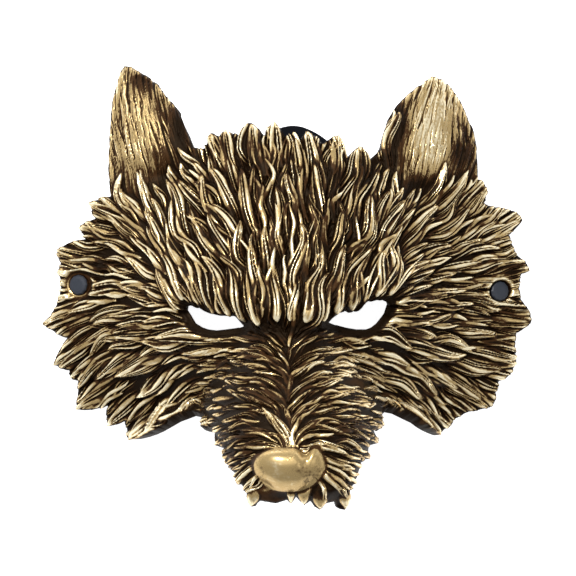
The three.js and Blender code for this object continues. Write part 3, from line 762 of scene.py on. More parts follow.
    def holds_fur(self, spots: Array) -> Array:
        """Whether a lock may grow from each place of the plan.

        Args:
            spots: the places.

        Returns:
            True where one may.
        """
        gap = self.grid.clearance(spots[:, 0], spots[:, 1])
        lip = LIP_LEVEL - 4 * (np.abs(spots[:, 0]) > 14)
        return (gap > -1) & (spots[:, 1] > lip) & (self.form.nose_field(spots[:, 0], spots[:, 1]) > 1.0)

    def brow_locks(self) -> list[Lock]:
        """Broad locks whose round lower ends hang over the eyes.

        Returns:
            The locks.
        """
        table = np.array(BROW_LOCKS, float)
        style = STYLES[Coat.FOREHEAD]
        bends = self.random.uniform(-0.3, 0.3, (len(table), 2))
        lines = self.trace(table[:, :2], np.full(len(table), style.length), bends, 0.0)
        locks = []
        for line, width in zip(lines, table[:, 2]):
            strands = max(2, round(width / style.strand))
            locks.append(Lock(line, width, style.lift * 1.2, strands, style.groove, 0.8, blunt_root=True))
        return locks

    def rim_locks(self) -> list[Lock]:
        """Locks and teeth that end in the outline's tips.

        Returns:
            The locks.
        """
        tips = [i for i, (turn, _, _) in enumerate(OUTLINE) if turn is Turn.TIP]
        ends = np.array([OUTLINE[i][1:] for i in tips], float)
        coats = [list(GUIDES)[k] for k in self.growth.coat(ends)]
        coats = [Coat.TOOTH if y < LIP_LEVEL else coat for coat, (_, y) in zip(coats, ends)]
        lengths = np.array([STYLES[coat].length for coat in coats])
        lines = self.trace(ends, lengths, np.zeros((len(ends), 2)), 1.0)
        locks = []
        for i, coat, line, end, length in zip(tips, coats, lines, ends, lengths):
            style = STYLES[coat]
            sides = [OUTLINE[(i + step) % len(OUTLINE)][1:] for step in (-1, 1)]
            width = min(max(math.dist(*sides), style.width * 0.8), style.width * 1.7)
            if coat is Coat.TOOTH:
                line = np.linspace(end + (0, length), end, self.steps)
            strands = max(1, round(width / (style.strand * 1.1)))
            locks.append(Lock(line, width, style.lift * 1.15, strands, style.groove, style.point))
        return locks

    def window(self, lock: Lock) -> tuple[slice, slice] | None:
        """Part of the grid that a lock may reach.

        Args:
            lock: the lock.

        Returns:
            Its rows and columns, or None for a lock off the grid.
        """
        reach = lock.width * 0.6 + 1
        low, high = lock.line.min(axis=0) - reach, lock.line.max(axis=0) + reach
        first, last = np.searchsorted(self.grid.y[:, 0], (low[1], high[1]))
        x = self.grid.x[first:last]
        used = np.flatnonzero(((x > low[0]) & (x < high[0])).any(axis=0))
        if last - first < 2 or len(used) < 2:
            return None
        return (slice(first, last), slice(used[0], used[-1] + 1))

    def along_lock(self, lock: Lock, points: Array, normal: Array) -> tuple[Array, Array, Array, float]:
        """Places of points along and across a lock.

        Args:
            lock: the lock.
            points: points of the smooth surface.
            normal: its outward directions there.

        Returns:
            Shares of the lock's length, distances to its side and from its line, and its length.
        """
        line = self.on_surface(lock.line)
        start, span = line[:-1], np.diff(line, axis=0)
        size = np.linalg.norm(span, axis=1)
        offset = points[..., None, :] - start
        t = np.clip((offset * span).sum(axis=-1) / size ** 2, 0, 1)
        gap = offset - t[..., None] * span
        nearest = np.argmin((gap ** 2).sum(axis=-1), axis=-1)
        pick = nearest[..., None]
        t = np.take_along_axis(t, pick, -1)[..., 0]
        gap = np.take_along_axis(gap, pick[..., None], -2)[..., 0, :]
        side = np.cross(normal, span[nearest] / size[nearest][..., None])
        run = np.concatenate([[0], np.cumsum(size)])
        s = (run[nearest] + t * size[nearest]) / run[-1]
        return s, (gap * side).sum(axis=-1), np.linalg.norm(gap, axis=-1), run[-1]

    def raise_lock(self, lock: Lock, number: int) -> None:
        """Raises one lock over whatever lies under it.

        Args:
            lock: the lock.
            number: its place in the order, which seeds its strands.
        """
        window = self.window(lock)
        if window is None:
            return
        s, across, beyond, length = self.along_lock(lock, self.base[window], self.normal[window])
        half = lock.width / 2 * self.taper(s, lock)
        u = across / np.maximum(half, 1e-3)
        inside = (np.abs(u) < 1) & (beyond < half + 1e-6)
        height = self.profile(np.clip(u, -1, 1), s, half, lock, number)
        raised = inside & (height > self.height[window])
        self.height[window] = np.where(raised, height, self.height[window])
        flow = np.stack([s * length, across, np.full(s.shape, number * 7.31)], axis=-1)
        self.flow[window] = np.where(raised[..., None], flow, self.flow[window])

    @staticmethod
    def taper(s: Array, lock: Lock) -> Array:
        """Share of a lock's width at places along it.

        Args:
            s: the places, from 0 at the root to 1.
            lock: the lock.

        Returns:
            The shares.
        """
        swell = 0.45 if lock.blunt_root else 0.4  # where the lock is widest
        root = 0.35
        if lock.blunt_root:
            round_end = np.sqrt(np.maximum(0, 1 - (1 - np.clip(s / 0.14, 0, 1)) ** 2))
            rise = round_end * (0.85 + 0.15 * np.clip(s / 0.4, 0, 1))
        else:
            rise = root + (1 - root) * np.sin(math.pi / 2 * np.clip(s / swell, 0, 1))
        fall = np.maximum(0, 1 - np.clip((s - swell) / (1 - swell), 0, 1) ** 1.8) ** lock.point
        return np.where(s < swell, rise, fall)

    @staticmethod
    def profile(u: Array, s: Array, half: Array, lock: Lock, number: int) -> Array:
        """Height of a lock over the skin.

        Args:
            u: places across it, from -1 to 1.
            s: places along it, from 0 to 1.
            half: half its width there.
            lock: the lock.
            number: its place in the order.

        Returns:
            The heights in millimetres.
        """
        crest = (1 - np.abs(u) ** 2.6) ** 0.6
        if lock.blunt_root:
            along = 1 - 0.35 * smooth(s, 0.1, 0.9) - 0.5 * smooth(s, 0.8, 1)
        else:
            along = 0.18 + 0.82 * smooth(s, 0, 0.62) - 0.45 * smooth(s, 0.84, 1)
        body = lock.level + lock.lift * along * crest
        if lock.groove <= 0:
            return body
        # strands of uneven width that wander across the lock, each groove as deep as its luck
        phase = math.sin(number * 12.9898) * 0.45
        uneven = u + 0.13 * np.sin(math.pi * 2 * u + number * 1.7)
        place = (uneven * 0.5 + 0.5) * lock.strands + phase * np.sin(math.pi * 1.5 * s)
        cell = np.floor(place)
        local = (place - cell) * 2 - 1
        round_top = np.sqrt(np.maximum(0, 1 - (local / 0.62) ** 2))
        luck = 0.72 + 0.28 * np.sin(cell * 5.1 + number * 3.7 + 2 * s)
        deep = lock.groove * luck * np.sqrt(np.clip(half * 2 / lock.width, 0, 1))
        deep = deep * (1 - 0.8 * smooth(s, 0.82, 0.98))
        if lock.blunt_root:
            deep = deep * (0.2 + 0.8 * smooth(s, 0.06, 0.28))
        return body - deep * (1 - round_top)

    def finish(self) -> None:
        """Joins the relief to the bare places and works out how the paint lies on it."""
        grid = self.grid
        x, y, clear = grid.x, grid.y, grid.clear
        relief = self.height * self.bare
        for cx, cy, _ in RIVETS:
            seat = 1 - smooth(np.hypot(x - cx, y - cy), 5.0, 5.5)  # a 10 mm cap's seat
            relief = relief - self.rivet_seat * seat
        edge = np.clip(1 - clear / self.edge_round, 0, 1)
        relief = relief - self.edge_fall * edge ** 2
        self.relief = (relief * 4 + blur(relief, 1)) / 5
        self.points = self.base + self.normal * self.relief[..., None]
        self.gilding = self.paint()

    def paint(self) -> Array:
        """Load of gold at each point: most on the ridges, least in the grooves and on the darker places, some
        of which are painted shade.

        Returns:
            The loads, from 0 to 1.2.
        """
        grid = self.grid
        shown = grid.clear > 0
        load = np.full(grid.x.shape, 0.5)
        # fine ridges, then whole locks
        for cells, share in ((2, 0.31), (8, 0.18)):
            step = self.relief - blur(self.relief, cells)
            load += share * np.clip(step / step[shown].std(), -2.5, 2.5)
        for x, y, across, along, rise in PAINT_AND_SHADE:
            load += rise * mound(grid.x, grid.y, (x, y), (across, along))
        # the eye holes' black edges, a rim darkened towards the outline, widest at the lower sides, and the
        # evenly brushed nose pad
        load -= 1.2 * (1 - smooth(grid.eye_gap, 1.0, 4.5))
        low_rim = smooth(-grid.y, 5, 35) * smooth(np.abs(grid.x), 65, 95)
        load -= (0.35 + 0.1 * low_rim) * (1 - smooth(grid.clear, 0.2, 1.1 + 0.3 * low_rim))
        load += (1 - smooth(self.form.nose_field(grid.x, grid.y), 0.88, 1.04)) * (0.86 - load)
        return np.clip(load, 0, 1.2)


# Heavier and lighter places of the gold, a few of them painted shade: middle, reach across and along, and
# rise
PAINT_AND_SHADE = (
    (0, -21, 14, 4, -0.7), (-20, 60, 5, 8, -0.4), (-36, -23, 18, 3, -0.6), (36, -22, 18, 3, -0.6),
    (42, 60, 8, 8, -0.4), (48, 66, 6, 6, -0.4), (54, 88, 5, 13, -0.5), (86, 68, 5, 7, -0.5),
    # the row at (-54, 80) is painted shade along the left ear's inner edge, where it turns away from the
    # light
    (68, 50, 10, 5, -0.5), (-54, 80, 3.5, 15, -0.5), (-61, 54, 7, 5, -0.35), (30, 30, 16, 22, -0.15),
    (-44, 26, 10, 9, -0.15), (112, 6, 4, 6, -0.4), (-30, -52, 14, 14, -0.15), (-12, 44, 6, 12, -0.15),
    (-76, 76, 12, 30, 0.3), (72, 80, 14, 30, 0.5), (-70, 104, 9, 5, -0.3), (0, -72, 4, 7, 0.5),
    (-37, -29, 8, 3, 0.3), (-54, -25, 8, 3, 0.25), (52, -20, 6, 4, 0.25), (-107, 0.5, 7, 7, 0.5),
    (106, -2, 6, 6, 0.4), (-93, 11, 4, 2.5, -0.8), (0, -103, 17, 2.2, -0.2), (26, -92, 6, 6, 0.2),
    (5, -109, 30, 3, -0.4), (-28, -75, 12, 16, -0.12), (30, -44, 14, 10, 0.3), (104, 24, 14, 14, 0.2),
    # the rows at (-15, -18) and (14, -18) are painted shade under the brow locks' lower ends
    (-15, -18, 9, 3.5, -0.35), (14, -18, 9, 3.5, -0.35), (52, -3, 5, 4, -0.4), (-84, -30, 22, 20, 0.05),
    (0, -52, 50, 26, -0.14), (-14, -102, 8, 3.5, 0.3), (22, 44, 12, 20, -0.16), (0, 30, 44, 34, -0.03),
    (78, -40, 22, 22, 0.05),
)


def add_object(name: str, data: bpy.types.ID) -> bpy.types.Object:
    """Links a new object with the given data into the scene."""
    made = bpy.data.objects.new(name, data)
    bpy.context.scene.collection.objects.link(made)
    return made


@dataclass(frozen=True)
class GildedFoam:
    """Moulded polyurethane foam, sprayed black and dry brushed with antique gold lacquer.

    The eye reads glossy gold ridges with pale glints over warm, nearly black grooves.
    """

    dark: str = "100702"  # black base coat, warm where it shows
    glaze: str = "34200F"  # brown veil where the brush only skimmed
    gold: str = "B09767"  # lacquer on the ridges
    pale: str = "F2E5C2"  # painted highlight on the crests, over the thickest lacquer
    varnish: str = "FFE0B8"  # tint of the glints
    roughness_dark: float = 0.5
    roughness_gold: float = 0.26
    shine_dark: float = 0.1
    shine_gold: float = 0.5
    metal: float = 0.55  # share of bronze flakes in the lacquer
    streak_mm: float = 0.4  # width of a brushed hair streak
    streak_pull: float = 0.05  # a streak's width as a share of its length
    streak_depth_mm: float = 0.12
    blotch_mm: float = 14.0  # size of a heavier or lighter stroke of the brush
    speck_mm: float = 1.4  # size of the specks where the brush skipped
    streak_share: float = 0.42  # what each pattern adds to the load of gold
    blotch_share: float = 0.65
    speck_share: float = 0.26

    def build(self) -> bpy.types.Material:
        """Makes the material.

        Returns:
            The material.
        """
        material, tree = new_material("foam_dry_brushed_gold")
        load = add_node(tree, "ShaderNodeAttribute", attribute_name="gilding").outputs["Fac"]
        flow = add_node(tree, "ShaderNodeAttribute", attribute_name="flow").outputs["Vector"]
        place = add_node(tree, "ShaderNodeTexCoord").outputs["Object"]
        hairs = add_node(tree, "ShaderNodeVectorMath", {
            0: flow, 1: (self.streak_pull / self.streak_mm, 1 / self.streak_mm, 1)}, operation="MULTIPLY")
        streak = add_node(tree, "ShaderNodeTexNoise", {
            "Vector": hairs.outputs[0], "Scale": 1.0, "Detail": 3.0, "Roughness": 0.6})
        blotch = add_node(tree, "ShaderNodeTexNoise", {
            "Vector": place, "Scale": 1 / (self.blotch_mm * MM), "Detail": 4.0, "Roughness": 0.62})
        speck = add_node(tree, "ShaderNodeTexNoise", {
            "Vector": place, "Scale": 1 / (self.speck_mm * MM), "Detail": 2.0})
        shares = ((streak, self.streak_share), (blotch, self.blotch_share), (speck, self.speck_share))
        for noise, share in shares:
            total = add_node(tree, "ShaderNodeMath", {
                0: noise.outputs["Fac"], 1: share, 2: load}, operation="MULTIPLY_ADD")
            load = total.outputs[0]
        # loads at which each layer starts and covers: brown glaze, gold lacquer, then the painted highlight
        # on the crests
        layers = ((0.95, 1.27, self.glaze), (1.31, 1.50, self.gold), (1.53, 1.84, self.pale))
        color = linear(self.dark)
        steps = []
        for low, high, code in layers:
            step = add_node(tree, "ShaderNodeMapRange", {
                "Value": load, "From Min": low, "From Max": high}, interpolation_type="SMOOTHSTEP")
            steps.append(step.outputs[0])
            mix = add_node(tree, "ShaderNodeMix", {
                0: step.outputs[0], 6: color, 7: linear(code)}, data_type="RGBA")
            color = mix.outputs[2]
        gilt = steps[1]
        metal = add_node(tree, "ShaderNodeMath", {0: gilt, 1: self.metal}, operation="MULTIPLY")
        rough = add_node(tree, "ShaderNodeMapRange", {
            "Value": gilt, "To Min": self.roughness_dark, "To Max": self.roughness_gold})
        shine = add_node(tree, "ShaderNodeMapRange", {
            "Value": gilt, "To Min": self.shine_dark, "To Max": self.shine_gold})
        bump = add_node(tree, "ShaderNodeBump", {
            "Height": streak.outputs["Fac"], "Strength": 0.5, "Distance": self.streak_depth_mm * MM})
        shader = add_node(tree, "ShaderNodeBsdfPrincipled", {
            "Base Color": color, "Metallic": metal.outputs[0], "Roughness": rough.outputs[0],
            "Normal": bump.outputs[0], "Specular IOR Level": shine.outputs[0],
            "Specular Tint": linear(self.varnish)})
        add_node(tree, "ShaderNodeOutputMaterial", {"Surface": shader.outputs[0]})
        return material


@dataclass(frozen=True)
class RawFoam:
    """Bare moulded foam inside the shell: matt black with fine open cells."""

    dark: str = "161413"
    light: str = "2A2624"
    cell_mm: float = 0.8  # size of a foam cell, drawn coarse enough to show
    cloud_mm: float = 25.0  # size of its paler clouds

    def build(self) -> bpy.types.Material:
        """Makes the material.

        Returns:
            The material.
        """
        material, tree = new_material("foam_bare_black")
        place = add_node(tree, "ShaderNodeTexCoord")
        cells = add_node(tree, "ShaderNodeTexVoronoi", {
            "Vector": place.outputs["Object"], "Scale": 1 / (self.cell_mm * MM)})
        cloud = add_node(tree, "ShaderNodeTexNoise", {
            "Vector": place.outputs["Object"], "Scale": 1 / (self.cloud_mm * MM), "Detail": 3.0})
        color = add_node(tree, "ShaderNodeMix", {
            0: cloud.outputs["Fac"], 6: linear(self.dark), 7: linear(self.light)}, data_type="RGBA")
        bump = add_node(tree, "ShaderNodeBump", {
            "Height": cells.outputs["Distance"], "Strength": 0.5, "Distance": 0.25 * MM})
        shader = add_node(tree, "ShaderNodeBsdfPrincipled", {
            "Base Color": color.outputs[2], "Roughness": 0.82, "Normal": bump.outputs[0]})
        add_node(tree, "ShaderNodeOutputMaterial", {"Surface": shader.outputs[0]})
        return material


@dataclass(frozen=True)
class SlatePlastic:
    """Injection moulded nylon in slate grey: the rivets read as smooth satin discs."""

    dark: str = "191E27"
    light: str = "1F2530"
    grain_mm: float = 0.25  # fine grain of the moulded skin
    cloud_mm: float = 3.0

    def build(self) -> bpy.types.Material:
        """Makes the material.

        Returns:
            The material.
        """
        material, tree = new_material("nylon_moulded_slate")
        place = add_node(tree, "ShaderNodeTexCoord")
        grain = add_node(tree, "ShaderNodeTexNoise", {
            "Vector": place.outputs["Object"], "Scale": 1 / (self.grain_mm * MM), "Detail": 2.0})
        cloud = add_node(tree, "ShaderNodeTexNoise", {
            "Vector": place.outputs["Object"], "Scale": 1 / (self.cloud_mm * MM), "Detail": 2.0})
        color = add_node(tree, "ShaderNodeMix", {
            0: cloud.outputs["Fac"], 6: linear(self.dark), 7: linear(self.light)}, data_type="RGBA")
        bump = add_node(tree, "ShaderNodeBump", {
            "Height": grain.outputs["Fac"], "Strength": 0.3, "Distance": 0.04 * MM})
        shader = add_node(tree, "ShaderNodeBsdfPrincipled", {
            "Base Color": color.outputs[2], "Roughness": 0.5, "IOR": 1.53, "Normal": bump.outputs[0]})
        add_node(tree, "ShaderNodeOutputMaterial", {"Surface": shader.outputs[0]})
        return material


@dataclass(frozen=True)
class ElasticBraid:
    """Woven elastic in navy black: matt polyester ribs that swallow the light."""

    valley: str = "050609"
    crest: str = "14161E"
    rib_scale: float = 1.0  # gives about 3 ribs for each millimetre across the band
    pick_scale: float = 0.7  # gives about 2 weft threads for each millimetre along it

    def build(self) -> bpy.types.Material:
        """Makes the material.

        Returns:
            The material.
        """
        material, tree = new_material("elastic_braid_navy_black")
        flow = add_node(tree, "ShaderNodeAttribute", attribute_name="weave").outputs["Vector"]
        ribs = add_node(tree, "ShaderNodeTexWave", {
            "Vector": flow, "Scale": self.rib_scale, "Distortion": 0.6}, bands_direction="Y")
        picks = add_node(tree, "ShaderNodeTexWave", {
            "Vector": flow, "Scale": self.pick_scale, "Distortion": 0.4}, bands_direction="X")
        cloth = add_node(tree, "ShaderNodeMath", {
            0: ribs.outputs["Fac"], 1: picks.outputs["Fac"]}, operation="MULTIPLY")
        color = add_node(tree, "ShaderNodeMix", {
            0: cloth.outputs[0], 6: linear(self.valley), 7: linear(self.crest)}, data_type="RGBA")
        bump = add_node(tree, "ShaderNodeBump", {
            "Height": cloth.outputs[0], "Strength": 0.7, "Distance": 0.15 * MM})
        shader = add_node(tree, "ShaderNodeBsdfPrincipled", {
            "Base Color": color.outputs[2], "Roughness": 0.9, "Specular IOR Level": 0.12,
            "Sheen Weight": 0.04, "Normal": bump.outputs[0]})
        add_node(tree, "ShaderNodeOutputMaterial", {"Surface": shader.outputs[0]})
        return material


class Piece(IntEnum):
    """Pieces that the shell is parted into, numbered as they are built."""

    EAR_LEFT = 0
    EAR_RIGHT = 1
    FOREHEAD_FUR = 2
    CHEEK_FUR_LEFT = 3
    CHEEK_FUR_RIGHT = 4
    MUZZLE_FUR = 5


@dataclass
class Patch:
    """Points, faces and paint of one piece of the shell."""

    points: Array
    faces: Array
    inner: Array  # 1 for a face of the bare inside
    gilding: Array
    flow: Array


@dataclass
class MaskShell:
    """The moulded shell, parted into closed pieces along straight lines of its plan."""

    form: ShellForm = field(default_factory=ShellForm)
    wall: float = 3.6  # under the smooth skin, without the locks on it
    ear_wall: float = 2.4
    lid: float = 0.3  # share of the wall that is left at the eye holes' edges
    block: int = 4  # cells that one facet of the smooth inner face spans

    def region(self, x: Array, y: Array) -> Array:
        """Number of the piece that each place of the plan belongs to.

        Args:
            x: x of places in the plan.
            y: their y.

        Returns:
            The numbers.
        """
        ears, eyes = 44, -22  # levels of the ears' roots and of the eyes' lower lids
        piece = np.full(x.shape, int(Piece.FOREHEAD_FUR))
        piece[(x < -52) & (y < ears)] = Piece.CHEEK_FUR_LEFT
        piece[(x > 54) & (y < ears)] = Piece.CHEEK_FUR_RIGHT
        piece[(np.abs(x - 1) < 47) & (y < eyes)] = Piece.MUZZLE_FUR
        piece[(x <= -46) & (y <= eyes)] = Piece.CHEEK_FUR_LEFT
        piece[(x >= 48) & (y <= eyes)] = Piece.CHEEK_FUR_RIGHT
        piece[(y >= ears) & (x < -50)] = Piece.EAR_LEFT
        piece[(y >= ears) & (x > 43)] = Piece.EAR_RIGHT
        return piece

    def build(self) -> list[bpy.types.Object]:
        """Builds, dresses and mounts all pieces of the shell.

        Returns:
            The pieces.
        """
        grid = Grid(self.form)
        fur = Fur(self.form, grid)
        back = self.inner_face(fur)
        finishes = [GildedFoam().build(), RawFoam().build()]
        kept = self.kept_cells(grid)
        cells = (slice(0, -1), slice(0, -1))
        owner = self.region(grid.x[cells], grid.y[cells])
        pieces = []
        for part in Piece:
            patch = self.patch(fur, back, kept & (owner == part)[..., None])
            piece = self.mesh(part.name.lower(), patch, finishes)
            pieces.append(piece)
            log.info("%s: %d faces", piece.name, len(piece.data.polygons))
        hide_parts("mask_shell")
        for piece in pieces:
            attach(piece, "root")
        return pieces

    def inner_face(self, fur: Fur) -> Array:
        """Points of the smooth face that lies on the wearer.

        Args:
            fur: the relief on the front.

        Returns:
            The points.
        """
        grid = fur.grid
        thick = np.where((grid.y > 62) & (np.abs(grid.x) > 40), self.ear_wall, self.wall)
        thick = blur(thick, 6) * (self.lid + (1 - self.lid) * smooth(grid.eye_gap, 1, 6))
        points = fur.base - fur.normal * thick[..., None]
        points[..., 2] = np.maximum(points[..., 2], 0.05)
        return points

    def kept_cells(self, grid: Grid) -> Array:
        """Whether each cell's two triangles belong to the shell.

        Args:
            grid: points of the front.

        Returns:
            True where they do, two for each cell.
        """
        snapped = np.where(grid.on_edge, 0.0, grid.clear)
        out = []
        for corners in ((0, 1, 2), (0, 2, 3)):
            gaps = [self.corners(snapped)[k] for k in corners]
            bare = [self.corners(grid.clear)[k] for k in corners]
            low = np.minimum(np.minimum(*gaps[:2]), gaps[2])
            high = np.maximum(np.maximum(*gaps[:2]), gaps[2])
            out.append((low >= 0) & ((high > 0) | (sum(bare) > 0)))
        return np.stack(out, axis=-1)

    @staticmethod
    def corners(values: Array) -> tuple[Array, Array, Array, Array]:
        """Values at the four corners of every cell, in turn."""
        return values[:-1, :-1], values[:-1, 1:], values[1:, 1:], values[1:, :-1]

    def patch(self, fur: Fur, back: Array, kept: Array) -> Patch:
        """Closes one piece from its front, its coarser inner face and the walls between.

        Args:
            fur: the shell's relief.
            back: points of the inner face.
            kept: the piece's triangles, two for each cell.

        Returns:
            The piece's patch.
        """
        rows, columns = fur.grid.x.shape
        total = rows * columns
        index = np.arange(total).reshape(rows, columns)
        a, b, c, d = self.corners(index)
        front = np.concatenate([
            np.stack([a, b, c], -1)[kept[..., 0]],
            np.stack([a, c, d], -1)[kept[..., 1]]])
        ends = np.concatenate([front[:, (0, 1)], front[:, (1, 2)], front[:, (2, 0)]])
        forward, backward = ends[:, 0] * total + ends[:, 1], ends[:, 1] * total + ends[:, 0]
        rim = ends[~np.isin(forward, backward)]
        walls = np.concatenate([
            np.stack([rim[:, 1], rim[:, 0], rim[:, 0] + total], -1),
            np.stack([rim[:, 1], rim[:, 0] + total, rim[:, 1] + total], -1)])
        inner = self.inner_facets(index, kept)[:, ::-1] + total
        faces = np.concatenate([front, walls, inner])
        is_inner = np.repeat((0, 1), (len(front) + len(walls), len(inner)))
        points = np.concatenate([fur.points.reshape(-1, 3), back.reshape(-1, 3)])
        used, faces = np.unique(faces, return_inverse=True)
        gilding = np.concatenate([fur.gilding.ravel(), np.zeros(total)])
        flow = np.tile(fur.flow.reshape(-1, 3), (2, 1))
        return Patch(points[used], faces.reshape(-1, 3), is_inner, gilding[used], flow[used])

    def inner_facets(self, index: Array, kept: Array) -> Array:
        """Facets of the inner face: broad ones inside the piece, the front's own along its edges.

        Args:
            index: numbers of the grid's points.
            kept: the piece's triangles.

        Returns:
            Triangles, turned as the front's are.
        """
        n = self.block
        rows, columns = (kept.shape[0] // n) * n, (kept.shape[1] // n) * n
        whole = kept[:rows, :columns].all(axis=-1)
        solid = whole.reshape(rows // n, n, columns // n, n).all(axis=(1, 3))
        fine = np.ones(kept.shape[:2], bool)
        fine[:rows, :columns] = ~np.repeat(np.repeat(solid, n, 0), n, 1)
        a, b, c, d = self.corners(index)
        out = [
            np.stack([a, b, c], -1)[kept[..., 0] & fine],
            np.stack([a, c, d], -1)[kept[..., 1] & fine]]
        block_row, block_column = np.nonzero(solid)
        padded = np.pad(solid, 1)
        r, q = block_row * n, block_column * n
        middle = index[r + n // 2, q + n // 2]
        steps = np.arange(n + 1)
        sides = (
            (-1, 0, r[:, None] + 0 * steps, q[:, None] + steps),
            (0, 1, r[:, None] + steps, q[:, None] + n + 0 * steps),
            (1, 0, r[:, None] + n + 0 * steps, q[:, None] + n - steps),
            (0, -1, r[:, None] + n - steps, q[:, None] + 0 * steps),
        )
        for dr, dc, sr, sc in sides:
            ring = index[sr, sc]
            broad = padded[block_row + 1 + dr, block_column + 1 + dc]
            out.append(np.stack([ring[broad, 0], ring[broad, n], middle[broad]], -1))
            for k in range(n):
                out.append(np.stack([ring[~broad, k], ring[~broad, k + 1], middle[~broad]], -1))
        return np.concatenate(out)

    @staticmethod
    def mesh(name: str, patch: Patch, finishes: list[bpy.types.Material]) -> bpy.types.Object:
        """Makes a piece's object with its paint attributes.

        Args:
            name: the piece's name.
            patch: its points, faces and paint.
            finishes: gilded outside and bare inside.

        Returns:
            The object.
        """
        moved = (patch.points + np.array((*ORIGIN, 0))) * MM
        data = bpy.data.meshes.new(name)
        data.vertices.add(len(moved))
        data.vertices.foreach_set("co", moved.astype(np.float32).ravel())
        data.loops.add(patch.faces.size)
        data.loops.foreach_set("vertex_index", patch.faces.astype(np.int32).ravel())
        data.polygons.add(len(patch.faces))
        data.polygons.foreach_set("loop_start", np.arange(0, patch.faces.size, 3, dtype=np.int32))
        data.polygons.foreach_set("material_index", patch.inner.astype(np.int32))
        data.update(calc_edges=True)
        data.validate()
        data.polygons.foreach_set("use_smooth", np.ones(len(data.polygons), bool))
        data.set_sharp_from_angle(angle=math.radians(65))
        for label, values, kind, key in (
                ("gilding", patch.gilding, "FLOAT", "value"),
                ("flow", patch.flow, "FLOAT_VECTOR", "vector")):
            layer = data.attributes.new(label, kind, "POINT")
            layer.data.foreach_set(key, values.astype(np.float32).ravel())
        for finish in finishes:
            data.materials.append(finish)
        return add_object(name, data)


